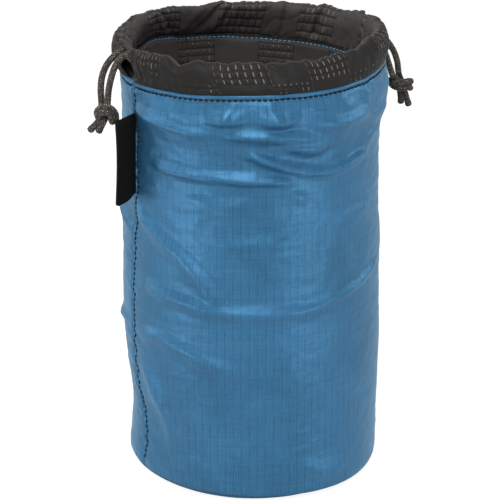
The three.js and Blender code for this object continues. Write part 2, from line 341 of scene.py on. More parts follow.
def shell_material(name, shade=0.0, hem=None):
    """Satin ripstop. hem is the height, in metres, below which its foot is darkened with painted shade; shade
    darkens all of it with painted shade.
    """
    g = new_graph(name)
    u, v = g.uv()
    place = g.place()
    base = g.mix(g.band(g.noise(place, 22.0, 2.0), 0.36, 0.64), "25506f", "2b587a")
    base = g.mix(g.band(g.noise(place, 75.0, 3.0), 0.4, 0.75) * 0.35, base, "316386")
    # ripstop: an upright thread that comes and goes, a fainter one beside it, and level ones
    column = u / (RIP_ACROSS * MM)
    strength = g.band(g.noise(g.pair(u * 0.4, v * 6.0), 60.0, 2.0), 0.3, 0.7)
    upright = g.line(column, 0.075) * (0.2 + strength * 0.45)
    beside = g.line(column + 0.37, 0.05) * (strength * 0.3)
    lines = g.most(upright, beside, g.line(v / (RIP_UP * MM), 0.05) * 0.22)
    base = g.mix(lines, base, "0e2c48")
    # threads run up and across: long fine streaks in colour, gloss and height
    warp = g.noise(g.pair(u, v * 0.06), 1500.0, 2.0, 0.7)
    weft = g.noise(g.pair(u * 0.06, v), 1500.0, 2.0, 0.7)
    streak = warp * 0.6 + weft * 0.4
    base = g.mix(g.band(streak, 0.4, 0.7) * 0.22, base, "3f7fa8")
    normal = g.bump(streak, 0.00008, 0.3)
    normal = g.bump(g.noise(place, 170.0, 5.0, 0.62), 0.0010, 0.25, Normal=normal)
    normal = g.bump(g.noise(g.pair(u * 0.45, v), 260.0, 4.0, 0.6), 0.0009, 0.35, Normal=normal)
    normal = g.bump(lines * -1.0, 0.0001, 0.6, Normal=normal)
    # painted shade: darker at the foot, up to hem, and all over by shade
    if hem is not None:
        base = g.mix((1.0 - g.band(v, hem, hem + 0.0013)) * 0.8, base, "0a2036")
    base = g.mix(shade, base, "0e2c48")
    g.finish(Base_Color=base, Normal=normal, Roughness=0.35 + streak * 0.16)
    return g.finish(Metallic=0.45, Specular_IOR_Level=0.5, Specular_Tint=(0.5, 0.82, 1.0, 1.0))


# The dark cloth is woven in a chequer of plain and ribbed squares. Its UV counts squares.
SQUARE = 23.3
RIB_COLUMNS = 7
RIB_ROWS = 6.5


def dark_cloth_material(name, painted_light_from):
    """painted_light_from is the row of the chequer where the inward face starts; from there on the cloth is
    lightened with painted light.
    """
    g = new_graph(name)
    u, v = g.uv()
    place = g.place()
    ribbed = 1.0 - g.math("FLOORED_MODULO", g.math("FLOOR", u) + g.math("FLOOR", v), 2.0)
    column = g.math("FRACT", u) * RIB_COLUMNS
    row = g.math("FRACT", v) * RIB_ROWS
    middle = g.math("ABSOLUTE", g.math("FRACT", row) - 0.5)
    dash = g.line(column, 0.1) * (1.0 - g.band(middle, 0.26, 0.34))
    groove = g.line(row, 0.16)
    mottle = g.noise(place, 900.0, 4.0, 0.6)
    base = g.mix(g.noise(place, 45.0, 2.0), "100f0e", "161514")
    base = g.mix(mottle * 0.2, base, "221f1e")
    # painted light: the inward face is lightened, as though lit as well as the outward face
    base = g.mix(g.band(v, painted_light_from - 0.08, painted_light_from + 0.08) * 0.85, base, "3c3938")
    # painted shade in the grooves between the rows of ribs
    base = g.mix(ribbed * (groove * 0.55), base, "0f0e0d")
    # painted highlight and painted shade: a rib's thread is painted light where the cloth faces up and dark
    # where it faces down, unevenly from rib to rib
    chance = g.chance(g.math("ROUND", column), g.math("FLOOR", v * RIB_ROWS))
    up = g.give("SeparateXYZ", which=2, Vector=g.give("NewGeometry", which="Normal"))
    thread = g.mix(g.band(up + (chance - 0.5) * 0.5, 0.0, 0.35), "080707", "7a756f")
    base = g.mix(ribbed * (dash * 0.75), base, thread)
    base = g.mix(g.most(g.line(u, 0.02), g.line(v, 0.02)) * 0.5, base, "181614")
    normal = g.bump(g.noise(place, 2400.0, 2.0), 0.00006, 0.5)
    normal = g.bump((dash * 0.6 - groove * 0.5) * ribbed, 0.0003, 0.5, Normal=normal)
    return g.finish(Base_Color=base, Normal=normal, Roughness=0.5 + mottle * 0.2, Specular_IOR_Level=0.14)


CORD_ROUND = 8  # braid bumps round the cord
CORD_PITCH = 1.4  # mm from bump to bump along it


def cord_material():
    g = new_graph("cord_look")
    u, v = g.uv()
    left = u * CORD_ROUND + v / (CORD_PITCH * MM)
    right = u * CORD_ROUND - v / (CORD_PITCH * MM)
    gaps = g.most(g.line(left + 0.5, 0.34), g.line(right + 0.5, 0.34))
    fibre = g.noise(g.pair(left * 6.0, right), 1.0, 2.0)
    base = g.mix(fibre * 0.6, "2f2a25", "5d564b")
    fleck = g.band(g.chance(g.math("ROUND", left), g.math("ROUND", right)), 0.55, 0.8)
    base = g.mix(fleck * (1.0 - gaps) * 0.8, base, "8d8677")
    # painted shade in the gaps between the braid's strands
    base = g.mix(gaps * 0.92, base, "0a0908")
    g.finish(Base_Color=base, Normal=g.bump(fibre, 0.0001, 0.6), Roughness=0.75)
    return g.finish(Sheen_Weight=0.1, Sheen_Roughness=0.5, Specular_IOR_Level=0.3)


def label_material():
    g = new_graph("label_look")
    u, v = g.uv()
    weave = g.line(v / 0.0005, 0.45) * g.line(u / 0.0006, 0.45)
    base = g.mix(weave, "060606", "141312")
    base = g.mix(g.band(g.noise(g.place(), 500.0, 3.0), 0.45, 0.8) * 0.3, base, "1d1b1a")
    normal = g.bump(weave, 0.0001, 0.5)
    return g.finish(Base_Color=base, Normal=normal, Roughness=0.8, Specular_IOR_Level=0.1)


def thread_material(name, colour, roughness=0.5):
    g = new_graph(name)
    twist = g.noise(g.place(), 3000.0, 2.0)
    base = g.mix(twist * 0.5, colour, "0b0d10")
    normal = g.bump(twist, 0.00005, 0.5)
    return g.finish(Base_Color=base, Roughness=roughness, Normal=normal, Specular_IOR_Level=0.2)


def foam_material():
    g = new_graph("foam_look")
    cells = g.give("TexVoronoi", Vector=g.place(), Scale=1800.0)
    base = g.mix(g.noise(g.place(), 300.0, 4.0), "d2d2cc", "e2e2dd")
    return g.finish(Base_Color=base, Roughness=0.95, Normal=g.bump(cells, 0.0002, 0.6))


shell_look = shell_material("shell_cloth_look", hem=0.0033)
base_look = shell_material("shell_base_look", shade=0.45)
collar_looks = {
    "front": dark_cloth_material("front_collar_cloth_look", 0.5),
    "back": dark_cloth_material("back_collar_cloth_look", 0.06),
}
lining_look = dark_cloth_material("lining_cloth_look", -9.0)
cord_look = cord_material()
label_look = label_material()
foam_look = foam_material()
dark_thread = thread_material("dark_thread_look", "0e1013", 0.7)
blue_thread = thread_material("blue_thread_look", "5aa3d0")

# Cords: each strand's route, from the tunnel to its knot
CORD = 3.0
STRAND_ROUTES = {
    "left_strand_back": [
        (-61.2, 7.8, 213.9), (-62.4, 5.1, 213.9), (-64.8, 3.2, 213.7), (-68.6, 2.4, 212.2),
        (-72.6, 2.2, 208.6), (-75.3, 2, 203.4), (-76.3, 1.8, 197.3), (-76.2, 1.6, 191.5),
    ],
    "left_strand_front": [
        (-61.2, -7.8, 213.9), (-62.3, -5.1, 213.9), (-64.4, -3.2, 213.6), (-67.4, -2.1, 211.9),
        (-70.4, -2, 208.4), (-72.5, -1.9, 203.2), (-73.9, -1.7, 197.3), (-74.5, -1.6, 191.5),
    ],
    "right_strand_back": [
        (60.4, 7.8, 209.6), (61.6, 5.1, 209.6), (64.2, 3.2, 209.4), (69, 2.4, 207.5),
        (75, 2.3, 203.2), (79.4, 2.1, 197.4), (81.7, 1.8, 191.6), (82.3, 1.6, 187.4),
    ],
    "right_strand_front": [
        (60.4, -7.8, 209.6), (61.6, -5.1, 209.6), (63.9, -3.2, 209.2), (67.8, -2.2, 206.2),
        (71, -2, 200.9), (73.6, -1.8, 195), (76.4, -1.7, 187.6),
    ],
}
KNOT_CORD = 2.8
KNOT_SWELL = 0.15  # the braid swells this much where it is drawn
KNOT_GAP = 0.3
STRAND_TUCK = 1.6  # each strand runs this far on into its knot
# Each knot is drawn as it faces the camera: the course of its two plies, from the strand to
# the cut end, as (to the right, up, towards the viewer) from the middle of the knot
KNOTS = {
    "left": {
        "centre": (-74.5, 0.4, 185.5),
        "back": [
            (-1.2, 2.6, -1.9), (0.6, -0.8, -2.9), (2.9, -3.5, -1.6), (4.3, -2.6, 0.6), (4.3, 0.6, 1.3),
            (2.3, 3.2, 1.6), (-0.9, 3.9, 1.8), (-3.5, 2.5, 1.3), (-4.3, 0.2, 0.0), (-3.2, -1.2, -2.0),
            (-1.6, -0.8, -0.8), (-2.4, -1.8, 0.9), (-4.8, -4.4, 1.2), (-8.2, -7.9, 1.8),
        ],
        "front": [
            (0.9, 2.8, -0.8), (1.7, -0.6, -0.9), (2.7, -3.4, 0.8), (2.9, -1.6, 2.9), (2.0, 0.8, 3.5),
            (0.0, 1.9, 3.7), (-2.2, 1.4, 3.3), (-3.7, -0.2, 2.2), (-3.1, -2.2, -0.2), (-1.2, -2.2, -1.2),
            (-0.5, -1.6, 0.9), (-1.5, -3.7, 2.2), (-4.0, -8.4, 2.4),
        ],
    },
    "right": {
        "centre": (82.7, -0.6, 180.9),
        "front": [
            (-3.1, 3.2, 1.7), (-1.2, 0.8, -0.2), (1.2, -1.0, -2.2), (4.0, -0.6, -1.4), (4.9, 1.0, 0.6),
            (2.8, 1.4, 2.6), (0.0, 0.8, 3.4), (-3.2, 0.9, 2.8), (-5.0, 1.3, 0.4), (-3.2, 1.9, -1.9),
            (-0.4, 0.6, -1.8), (1.2, -2.6, -0.4), (2.3, -5.2, 0.8), (4.4, -11.9, 0.6),
        ],
        "back": [
            (-0.4, 2.4, -2.4), (1.6, -1.2, -3.4), (4.1, -3.0, -1.8), (4.8, -2.5, 0.4), (2.8, -1.7, 2.5),
            (0.0, -2.1, 3.1), (-2.9, -1.5, 2.3), (-4.4, -0.9, 0.0), (-2.8, -1.2, -2.0), (-0.8, -2.6, -0.8),
            (-0.2, -5.2, 0.8), (0.4, -10.6, 1.0),
        ],
    },
}


def unit(vector):
    return vector / np.linalg.norm(vector, axis=-1, keepdims=True)


def frames_along(path):
    """Two directions across a path that don't twist along it."""
    tangent = unit(np.gradient(path, axis=0))
    across = [unit(np.cross(tangent[0], (0.3, 1.0, 0.2)))]
    for t in tangent[1:]:
        across.append(unit(across[-1] - t * np.dot(across[-1], t)))
    across = np.array(across)
    return across, np.cross(tangent, across)


def cord_tube(name, points, diameter, spacing=0.3, sides=40, relief=0.15, cut=False):
    """A braided tube along a smooth curve. cut says that its far end is a cut one."""
    path = resample(points, spacing)
    across, over = frames_along(path)
    run = np.linspace(0, length_of(path), len(path))
    s, a = np.meshgrid(run, np.linspace(0, 2 * math.pi, sides, endpoint=False), indexing="ij")
    turn, climb = CORD_ROUND * a / 2, math.pi * s / CORD_PITCH
    radius = diameter / 2 - relief + relief * 2 * np.abs(np.cos(turn + climb) * np.cos(turn - climb))
    if cut:
        # the end flares a little and is rounded off
        left = run[-1] - s
        share = np.clip(left / 1.1, 0, 1)
        flare = 1.0 + 0.12 * bump(left, 1.6, 1.0)
        radius = radius * flare * np.sqrt(np.clip(share * (2 - share), 0.02, 1))
    round_path = np.cos(a)[..., None] * across[:, None] + np.sin(a)[..., None] * over[:, None]
    rings = path[:, None] + radius[..., None] * round_path
    uv = np.stack(np.broadcast_arrays(np.linspace(0, 1, sides + 1)[None, :], run[:, None] * MM), axis=-1)
    return grid_piece(name, rings, uv, closed=True, caps=True), path


def onward(route):
    """The direction in which a route ends."""
    return unit(np.subtract(route[-1], route[-2]))


def knot_course(name, face):
    turn = math.radians(VIEW_ANGLE)
    right = np.array([math.cos(turn), math.sin(turn), 0.0])
    near = np.array([math.sin(turn), -math.cos(turn), 0.0])
    centre = np.array(KNOTS[name]["centre"])
    course = [centre + a * right + b * near + (0, 0, up) for a, up, b in KNOTS[name][face]]
    route = STRAND_ROUTES[f"{name}_strand_{face}"]
    entry = route[-1] + KNOT_GAP * onward(route)
    return [entry, entry + KNOT_CORD / 2 * onward(route), *course]


knot_pieces = {}
for knot_name in KNOTS:
    knot_pieces[knot_name] = []
    for face in ("back", "front"):
        ply_name = f"{knot_name}_knot_{face}_ply"
        ply, _ = cord_tube(ply_name, knot_course(knot_name, face), KNOT_CORD + KNOT_SWELL, cut=True)
        finish_piece(ply, f"{knot_name}_cord_end", "cord", cord_look, f"{knot_name}_knot")
        knot_pieces[knot_name].append(ply)

for strand_name, route in STRAND_ROUTES.items():
    side_name = strand_name.split("_")[0]
    strand, path = cord_tube(strand_name + "_braid", [*route, route[-1] + STRAND_TUCK * onward(route)], CORD)
    finish_piece(strand, None, "cord", cord_look, strand_name)
    tuple(path[0] * MM)
    tuple(path[-1] * MM)
    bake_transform(strand)
    tuple(path[0] * MM)
    length_of(path) * MM
    [tuple(p * MM) for p in path]
    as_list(knot_pieces[side_name] if strand_name.endswith("back") else [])

# Wall
WALL_TOP = 203.7
WALL_THICK = 7.3
CORNER = 6.0
WALL_SHARES = [(0, 0.0), (0.3, 0.019), (0.84, -0.013), (1, 0.024)]
STEP = 0.85  # mm between the points of the shell's mesh
SHELL_TOP = WALL_TOP + 0.6  # the shell's edge, tucked under the collar
TOPSTITCH = 201.4
BASE_SEAM_ANGLE = 32.0  # on the rounded foot, down from level
FOOT_LIFT = 1.7  # the base stands off the floor this much at the left
# Places where the wall is pressed in, as (angle, height, width, tall, depth)
DENTS = [
    (-78, 30, 18, 18, 3.0), (-114, 34, 22, 26, 3.6), (-118, 62, 10, 7, 0.8), (-116, 196, 24, 16, 1.6),
    (14, 4, 34, 26, -3.0),
]
# The sewn seams wander a little round the pouch: degrees by height
SEAM_WANDER = {
    "left": [
        (0, 3.4), (20, 3.6), (40, 1.4), (60, -1.0), (100, -1.5), (143, 1.6), (165, 2.2), (188, 3.4),
        (204, 4.6),
    ],
    "right": [(0, 1.0), (60, -1.5), (130, 1.5), (204, -1.0)],
}
SLOUCH_FROM = 120.0
# How far the soft upper part leans up or down from level, by angle round the pouch
OUTER_LEAN = [
    (-90, -3.2), (-60, -2.3), (-27, -0.9), (5, -0.9), (25, -0.5), (42, 0.6), (63, 1.5), (90, 1.0),
    (125, -0.6), (160, -1.2), (190, -0.8), (215, 0.4), (240, 0.0), (270, -3.2),
]
INNER_LEAN = [
    (-90, -2.9), (-60, -2.3), (-27, -1.5), (25, -2.0), (63, -3.5), (90, -4.6), (122, -4.3),
    (138, -4.1), (153, -3.4), (169, -2.1), (180, -1.5), (191, -0.9), (198, 0.8), (210, 2.0),
    (225, 1.2), (245, -1.0), (270, -2.9),
]
RIM_LEAN = [
    (-90, -2.5), (-66, -2.2), (-50, -3.2), (-40, -3.5), (-22, -2.8), (-7, -3.4), (4, -4.1),
    (18, -2.8), (30, -2.4), (45, -1.1), (63, -0.2), (93, -0.2), (105, -1.7), (122, -1.2),
    (138, -1.5), (153, -1.0), (169, -0.3), (180, -0.7), (191, 0.7), (203, 1.6), (216, 1.8),
    (230, 0.4), (243, 0.0), (262, -1.5), (270, -2.5),
]


def body_radius(z):
    return RADIUS * (1 + table_at(WALL_SHARES, z / WALL_TOP))


def wall_radius(angle, z):
    radius = body_radius(np.maximum(z, 0))
    for a, h, wide, tall, deep in DENTS:
        for turn in (0, 360):
            off = (angle - a - turn) * DEGREE
            radius = radius - deep * np.exp(-((off / wide) ** 2) - ((z - h) / tall) ** 2)
    return radius


def lean(table, angle, z):
    return table_at(table, np.asarray(angle, float)) * smoothstep(SLOUCH_FROM, WALL_TOP, z)


def foot_rise(angle, z):
    """The bottom edge doesn't quite lie down at the left."""
    turn = (np.asarray(angle, float) - LEFT + 180) % 360 - 180
    return FOOT_LIFT * np.exp(-((turn / 42) ** 2)) * smoothstep(45, 0, z)


def seam_angle(z, side):
    return (LEFT if side == "left" else RIGHT) + table_at(SEAM_WANDER[side], z)


def half_ends(z, half):
    """The angles of the seams where a half starts and ends."""
    if half == "front":
        return seam_angle(z, "left"), seam_angle(z, "right")
    return seam_angle(z, "right"), seam_angle(z, "left") + 360


def seam_offs(angle, z):
    """Each side with its distance from the seam in mm, also where the turn closes."""
    for side in ("left", "right"):
        for turn in (0, 360):
            yield side, np.abs(angle - seam_angle(z, side) - turn) * DEGREE


# Folds: the crest as (angle, height) points, how far it stands out, and the widths of its upper
# and lower side. A narrow upper side catches the light as a thin bright band.
FRONT_FOLDS = [
    ([(-88, 193), (-81, 190.5), (-62, 188), (-50, 186), (-38, 185.4)], 1.6, 4.0, 5.0),
    ([(-86, 188), (-74, 186.5), (-58, 184.2), (-44, 183)], 0.7, 2.4, 6.0),
    ([(-46, 193), (-37, 191.5), (-28, 192.5)], 2.3, 6.0, 4.4),
    ([(-26, 192), (-17, 190.8), (-7, 192)], 2.2, 6.0, 4.0),
    ([(-43, 185.6), (-30, 184.8), (-16, 184.2), (-4, 183.0), (4, 180)], 1.8, 3.8, 5.0),
    ([(-76, 167.0), (-60, 165.0), (-44, 164.2), (-27, 163.2), (-4, 161.0)], 1.9, 4.4, 4.6),
    ([(-34, 178), (-24, 174), (-15, 170), (-6, 166.0), (8, 164.2), (22, 166.0), (38, 170.5)], 1.9, 3.6, 4.4),
    ([(-16, 180.5), (-9, 178), (0, 175.5), (8, 176)], 1.6, 5.4, 4.0),
    ([(-14, 156), (-7, 154.6), (0, 152.8)], 0.7, 2.4, 6.0),
    ([(-4, 189.5), (10, 187.5), (22, 187.5), (36, 188)], 1.4, 5.0, 4.5),
    ([(24, 171), (36, 174), (52, 173)], 0.8, 3.2, 8.0),
    ([(30, 186), (44, 183), (58, 183)], 0.9, 3.4, 8.0),
    ([(-92, 143), (-81, 137), (-70, 130), (-56, 121), (-45, 110), (-37, 98)], 1.6, 5.5, 8.5),
    ([(-84, 104), (-60, 101), (-40, 98), (-20, 97.5), (0, 97.5), (12, 99.5)], 1.1, 5.0, 6.0),
    ([(0, 98.5), (22, 103), (38, 107), (52, 110)], 1.0, 2.6, 4.0),
    ([(-88, 76), (-70, 80), (-55, 76), (-42, 71), (-30, 68)], 1.4, 6.0, 8.0),
    ([(-86, 64), (-76, 52), (-68, 38), (-62, 24)], 1.2, 8.0, 10.0),
    ([(-42, 33), (-32, 24), (-24, 18)], 0.4, 4.0, 6.0),
    ([(-8, 20), (8, 13), (24, 18)], 0.9, 7.0, 8.0),
    ([(-60, 152), (-40, 151), (-22, 152)], 0.6, 4.0, 10.0),
    ([(-44, 133), (-20, 131), (-4, 134)], 0.6, 6.0, 12.0),
    ([(-70, 120), (-50, 112), (-36, 100)], 0.5, 6.0, 8.0),
    ([(4, 142), (24, 139), (44, 142)], 0.5, 6.0, 12.0),
]
BACK_FOLDS = [
    ([(95, 188), (120, 183), (145, 182), (170, 185)], 1.4, 4.5, 1.6),
    ([(160, 176), (185, 172), (215, 173), (240, 177)], 1.6, 4.0, 1.6),
    ([(110, 160), (135, 156), (160, 158)], 1.1, 4.0, 2.0),
    ([(200, 150), (225, 142), (255, 132), (268, 126)], 1.2, 5.5, 5.0),
    ([(100, 120), (130, 112), (160, 108), (190, 110)], 1.0, 4.0, 4.0),
    ([(175, 80), (200, 74), (230, 73), (262, 79)], 1.0, 5.0, 4.0),
    ([(95, 60), (115, 52), (140, 49)], 0.8, 4.0, 5.0),
    ([(150, 30), (180, 24), (210, 27)], 0.7, 4.0, 4.0),
]
FOLDS = {"front": FRONT_FOLDS, "back": BACK_FOLDS}
# Short puckers that run down from the topstitch, as (angle, lean, length, lift)
FRONT_PUCKERS = [
    (-33, -7, 14, 1.5), (-20, 9, 17, 1.6), (-4, 5, 9, 1.0), (12, 6, 10, 1.1), (28, 4, 9, 0.8),
]
CREST_SPREAD = (-4.0, -2.0, 0.0, 2.0, 4.0)  # degrees over which a crest's corners are rounded


def crest_height(angle, line):
    """Height of a crest over each angle."""
    angles, heights = zip(*line)
    return sum(np.interp(angle + d, angles, heights) for d in CREST_SPREAD) / len(CREST_SPREAD)


def fold_fade(angle, line, most):
    """1 along a fold, and falling to 0 over most degrees, or less, at its ends."""
    first, last = line[0][0], line[-1][0]
    reach = min(most, (last - first) * 0.45)
    return smoothstep(first - 2, first + reach, angle) * smoothstep(-last - 2, -last + reach, -angle)


def fold_lift(angle, z, half):
    lift = np.zeros(np.broadcast(angle, z).shape)
    for line, height, above, below in FOLDS[half]:
        crest = crest_height(angle, line)
        slope = (crest_height(angle + 1.0, line) - crest) / DEGREE
        off = (z - crest) / np.sqrt(1 + slope**2)
        shape = smoothstep(0, 1, 1 - np.abs(off) / np.where(off > 0, above, below))
        fold = height * fold_fade(angle, line, 14.0) * shape
        lift = np.maximum(lift, fold) + 0.25 * np.minimum(lift, fold)
    return lift


def pucker_lift(angle, z):
    lift = 0.0
    drop = TOPSTITCH - z
    for place, aslant, length, height in FRONT_PUCKERS:
        off = (angle - place - aslant * np.clip(drop / length, -0.2, 1.4)) * DEGREE
        reach = smoothstep(-1, 3, drop) * smoothstep(-length, -length * 0.4, -drop)
        lift = lift + height * np.exp(-((off / np.where(off > 0, 1.1, 3.6)) ** 2)) * reach
    return lift


def loose_shape(angle, z, half):
    """First guess of how far the slack cloth stands out, before it is settled."""
    lift = fold_lift(angle, z, half)
    high = smoothstep(60, 190, z)
    puff = smoothstep(TOPSTITCH, 192, z) * smoothstep(170, 188, z)
    full = smoothstep(-84, -70, angle) * smoothstep(100, 60, angle)
    lift += (0.2 + 2.0 * full) * puff * (1 + 0.5 * ripples(angle, 0, 19, 45))
    lift += (0.22 + 0.28 * high) * ripples(angle, z, 11, 55, 0.7)
    lift += (0.10 + 0.12 * high) * ripples(angle, z, 12, 16, 0.45)
    lift += (0.12 + 0.18 * high) * creases(angle, z, 13, 38, 0.5)
    return lift + pucker_lift(angle, z) if half == "front" else lift


# The shell's cloth, settled
SIM_STEP = 2.4  # mm between the points of the cloth that is simulated
SIM_SCALE = 10.0  # the cloth is simulated this many times larger, as the solver likes
SIM_FRAMES = 24
SIM_SLACK = 0.016  # the cloth is this share longer than its folded first guess
SIM_GATHER = 0.022  # and this share wider at the topstitch
SIM_ROWS = int(WALL_TOP / SIM_STEP)
SIM_COLS = int(GIRTH / SIM_STEP)
SIM_HEIGHTS = np.linspace(0, SHELL_TOP, SIM_ROWS)
SIM_ANGLES = LEFT + np.arange(SIM_COLS) * 360 / SIM_COLS
SEAM_FIRM = 0.35  # how firmly the side seams are held
MOULD_GAP = 0.5  # the wall that the cloth lies on is this much smaller
CLOTH_SETTINGS = {
    "quality": 6, "mass": 0.15, "tension_stiffness": 40, "compression_stiffness": 40,
    "shear_stiffness": 12, "bending_stiffness": 0.015, "tension_damping": 10, "compression_damping": 10,
    "shear_damping": 8, "bending_damping": 0.5, "air_damping": 2, "pin_stiffness": 1,
}


def sim_tube(name, points):
    """A closed tube of quads at the solver's size."""
    c = np.arange(SIM_COLS)
    low = np.arange(SIM_ROWS - 1)[:, None] * SIM_COLS
    here, there = low + c, low + (c + 1) % SIM_COLS
    faces = np.stack([here, there, there + SIM_COLS, here + SIM_COLS], axis=-1).reshape(-1, 4)
    mesh = bpy.data.meshes.new(name)
    mesh.from_pydata((points.reshape(-1, 3) * MM * SIM_SCALE).tolist(), [], faces.tolist())
    thing = bpy.data.objects.new(name, mesh)
    bpy.context.collection.objects.link(thing)
    return thing


def run_cloth(start, cut, mould, firm):
    """Settle a tube of cloth on a mould. cut is its shape at rest, firm how each point is held."""
    cloth = sim_tube("settling_cloth", start)
    cloth.shape_key_add(name="Basis")
    rest = cloth.shape_key_add(name="cut")
    rest.data.foreach_set("co", (cut.reshape(-1, 3) * MM * SIM_SCALE).astype(np.float32).ravel())
    held = cloth.vertex_groups.new(name="held")
    for index, weight in enumerate(firm.ravel().tolist()):
        if weight > 0:
            held.add([index], weight, "REPLACE")
    wall_mould = sim_tube("settling_wall", mould)
    wall_mould.modifiers.new("block", "COLLISION")
    wall_mould.collision.thickness_outer = 0.002
    wall_mould.collision.thickness_inner = 0.01
    wall_mould.collision.cloth_friction = 8
    sim = cloth.modifiers.new("cloth", "CLOTH")
    for key, value in CLOTH_SETTINGS.items():
        setattr(sim.settings, key, value)
    sim.settings.effector_weights.gravity = 0
    sim.settings.vertex_group_mass = "held"
    sim.settings.rest_shape_key = rest
    sim.collision_settings.distance_min = 0.002
    sim.collision_settings.collision_quality = 2
    sim.point_cache.frame_start = 1
    sim.point_cache.frame_end = SIM_FRAMES
    for frame_number in range(1, SIM_FRAMES + 1):
        bpy.context.scene.frame_set(frame_number)
    settled = cloth.evaluated_get(bpy.context.evaluated_depsgraph_get()).to_mesh()
    flat = np.empty(len(settled.vertices) * 3, np.float32)
    settled.vertices.foreach_get("co", flat)
    bpy.context.scene.frame_set(1)
    bpy.data.objects.remove(cloth, do_unlink=True)
    bpy.data.objects.remove(wall_mould, do_unlink=True)
    return flat.reshape(start.shape).astype(float) / (MM * SIM_SCALE)


def settle_cloth():
    """Lay the slack tube of cloth against the padded wall. Gives shifts out, round and up."""
    angle, z = np.meshgrid(SIM_ANGLES, SIM_HEIGHTS, indexing="xy")
    lift = np.where(angle < RIGHT, loose_shape(angle, z, "front"), loose_shape(angle, z, "back"))
    wall = wall_radius(angle, z)
    ends = smoothstep(0, 6, z) * smoothstep(WALL_TOP, TOPSTITCH - 5, z)
    out = np.maximum(lift, -0.2) * ends
    start = round_axis(angle, wall + out, z)
    steps = np.linalg.norm(np.diff(start, axis=0), axis=2)
    run = np.concatenate([np.zeros((1, SIM_COLS)), np.cumsum(steps, axis=0)])
    slack = 1 + SIM_SLACK * smoothstep(40, 150, z)
    wide = 1 + SIM_GATHER * smoothstep(165, 195, z)
    firm = np.where((z < 2) | (z > TOPSTITCH - 0.5), 1.0, 0.0)
    for _, off in seam_offs(angle, z):
        firm = np.maximum(firm, SEAM_FIRM * (off < SIM_STEP / 2))
    cut = round_axis(angle, wall * wide, run * slack)
    place = run_cloth(start, cut, round_axis(angle, wall - MOULD_GAP, z), firm)
    turned = np.degrees(np.arctan2(place[..., 0], -place[..., 1])) - angle
    radial = np.hypot(place[..., 0], place[..., 1]) - wall
    return np.clip(radial, -0.6, 6.0), (turned + 180) % 360 - 180, place[..., 2] - z


settled_out, settled_round, settled_up = settle_cloth()


def cubic_shares(t):
    """Shares of four neighbours in the value at t between the middle two."""
    return (
        ((-0.5 * t + 1) * t - 0.5) * t, (1.5 * t - 2.5) * t * t + 1,
        ((-1.5 * t + 2) * t + 0.5) * t, (0.5 * t - 0.5) * t * t,
    )


def settled_at(field, angle, z):
    """Smooth interpolation in a field of the settled cloth."""
    angle, z = np.broadcast_arrays(np.asarray(angle, float), np.asarray(z, float))
    column = (angle - LEFT) / 360 * SIM_COLS
    row = np.clip(z / SIM_HEIGHTS[-1], 0, 1) * (SIM_ROWS - 1)
    c0, r0 = np.floor(column).astype(int), np.floor(row).astype(int)
    total = 0.0
    for i, down in enumerate(cubic_shares(row - r0)):
        rows_at = np.clip(r0 + i - 1, 0, SIM_ROWS - 1)
        for k, side in enumerate(cubic_shares(column - c0)):
            total = total + down * side * field[rows_at, (c0 + k - 1) % SIM_COLS]
    return total


# Fine creases on the settled cloth, as (seed, wave, upright, height)
FINE_CREASES = ((51, 30, 0.35, 0.26), (52, 17, 0.3, 0.16), (53, 11, 0.5, 0.09))
FOLD_KEEP = 0.55  # this share of each fold is laid on the settled cloth once more
EDGE_SHARE = 0.26  # the height of a fold's crisp edge, as a share of the fold's
EDGE_ABOVE, EDGE_BELOW = 0.9, 2.2  # and its widths
STITCH_PULL = 0.85  # how deep the topstitch draws the cloth in
STITCH_GATHER = 0.32
FOOT_GATHER = 0.3
SEAM_PULL = 1.5  # how deep a side seam draws the cloth in, in a narrow line
SEAM_HOLLOW = 0.3  # and in a wide one
SEAM_PUCKER = 0.75
SEAM_SEEDS = {"left": 17, "right": 18}


def pressed(angle, z, seed, wave, upright):
    """Short sharp creases: thin crests that come and go, -0.5 to 1."""
    shape = ripples(angle, z, seed, wave, upright)
    gate = smoothstep(-0.1, 0.7, ripples(angle, z, seed + 40, wave * 1.6, 0.8))
    return gate * (np.exp(-7.0 * np.abs(shape)) - 0.4 * np.exp(-7.0 * np.abs(shape + 0.22)))


def pressed_folds(angle, z, half):
    """The crisp edge along the crest of each main fold."""
    lift = 0.0
    wander = 0.35 * ripples(angle, 0, 61, 9.0)
    for line, height, above, _ in FOLDS[half]:
        off = z - crest_height(angle, line) + wander
        sharp = np.exp(-np.abs(off) / np.where(off > 0, EDGE_ABOVE, EDGE_BELOW)) * smoothstep(8.0, 3.0, above)
        lift = lift + EDGE_SHARE * height * fold_fade(angle, line, 16.0) * sharp
    return lift


def wall_lift(angle, z, half):
    """How far the shell's cloth stands out from the plain wall."""
    lift = settled_at(settled_out, angle, z)
    lift += FOLD_KEEP * fold_lift(angle, z, half) + pressed_folds(angle, z, half)
    high = smoothstep(70, 180, z)
    for seed, wave, upright, height in FINE_CREASES:
        lift += height * (0.35 + 0.65 * high) * pressed(angle, z, seed, wave, upright)
    lift += 0.04 * ripples(angle, z, 14, 5.5, 0.8)
    # drawn in at the topstitch, and puckered over the base seam
    drop = TOPSTITCH - z
    gather = ripples(angle, 0, 15, 7.5) * np.exp(-np.abs(drop) / 4.5)
    lift += STITCH_GATHER * gather - STITCH_PULL * bump(drop, 0, 0.75) + 0.25 * bump(drop, -1.7, 0.9)
    lift += FOOT_GATHER * ripples(angle, 0, 16, 8.0) * np.exp(-np.maximum(z, 0) / 7.0)
    # drawn in along the side seams, with small cross puckers
    for side, off in seam_offs(angle, z):
        lift += SEAM_PUCKER * np.exp(-off / 5.5) * ripples(7, z, SEAM_SEEDS[side], 8.0)
        lift -= SEAM_PULL * bump(off, 0, 1.0) + SEAM_HOLLOW * np.exp(-off / 6.0)
    return lift


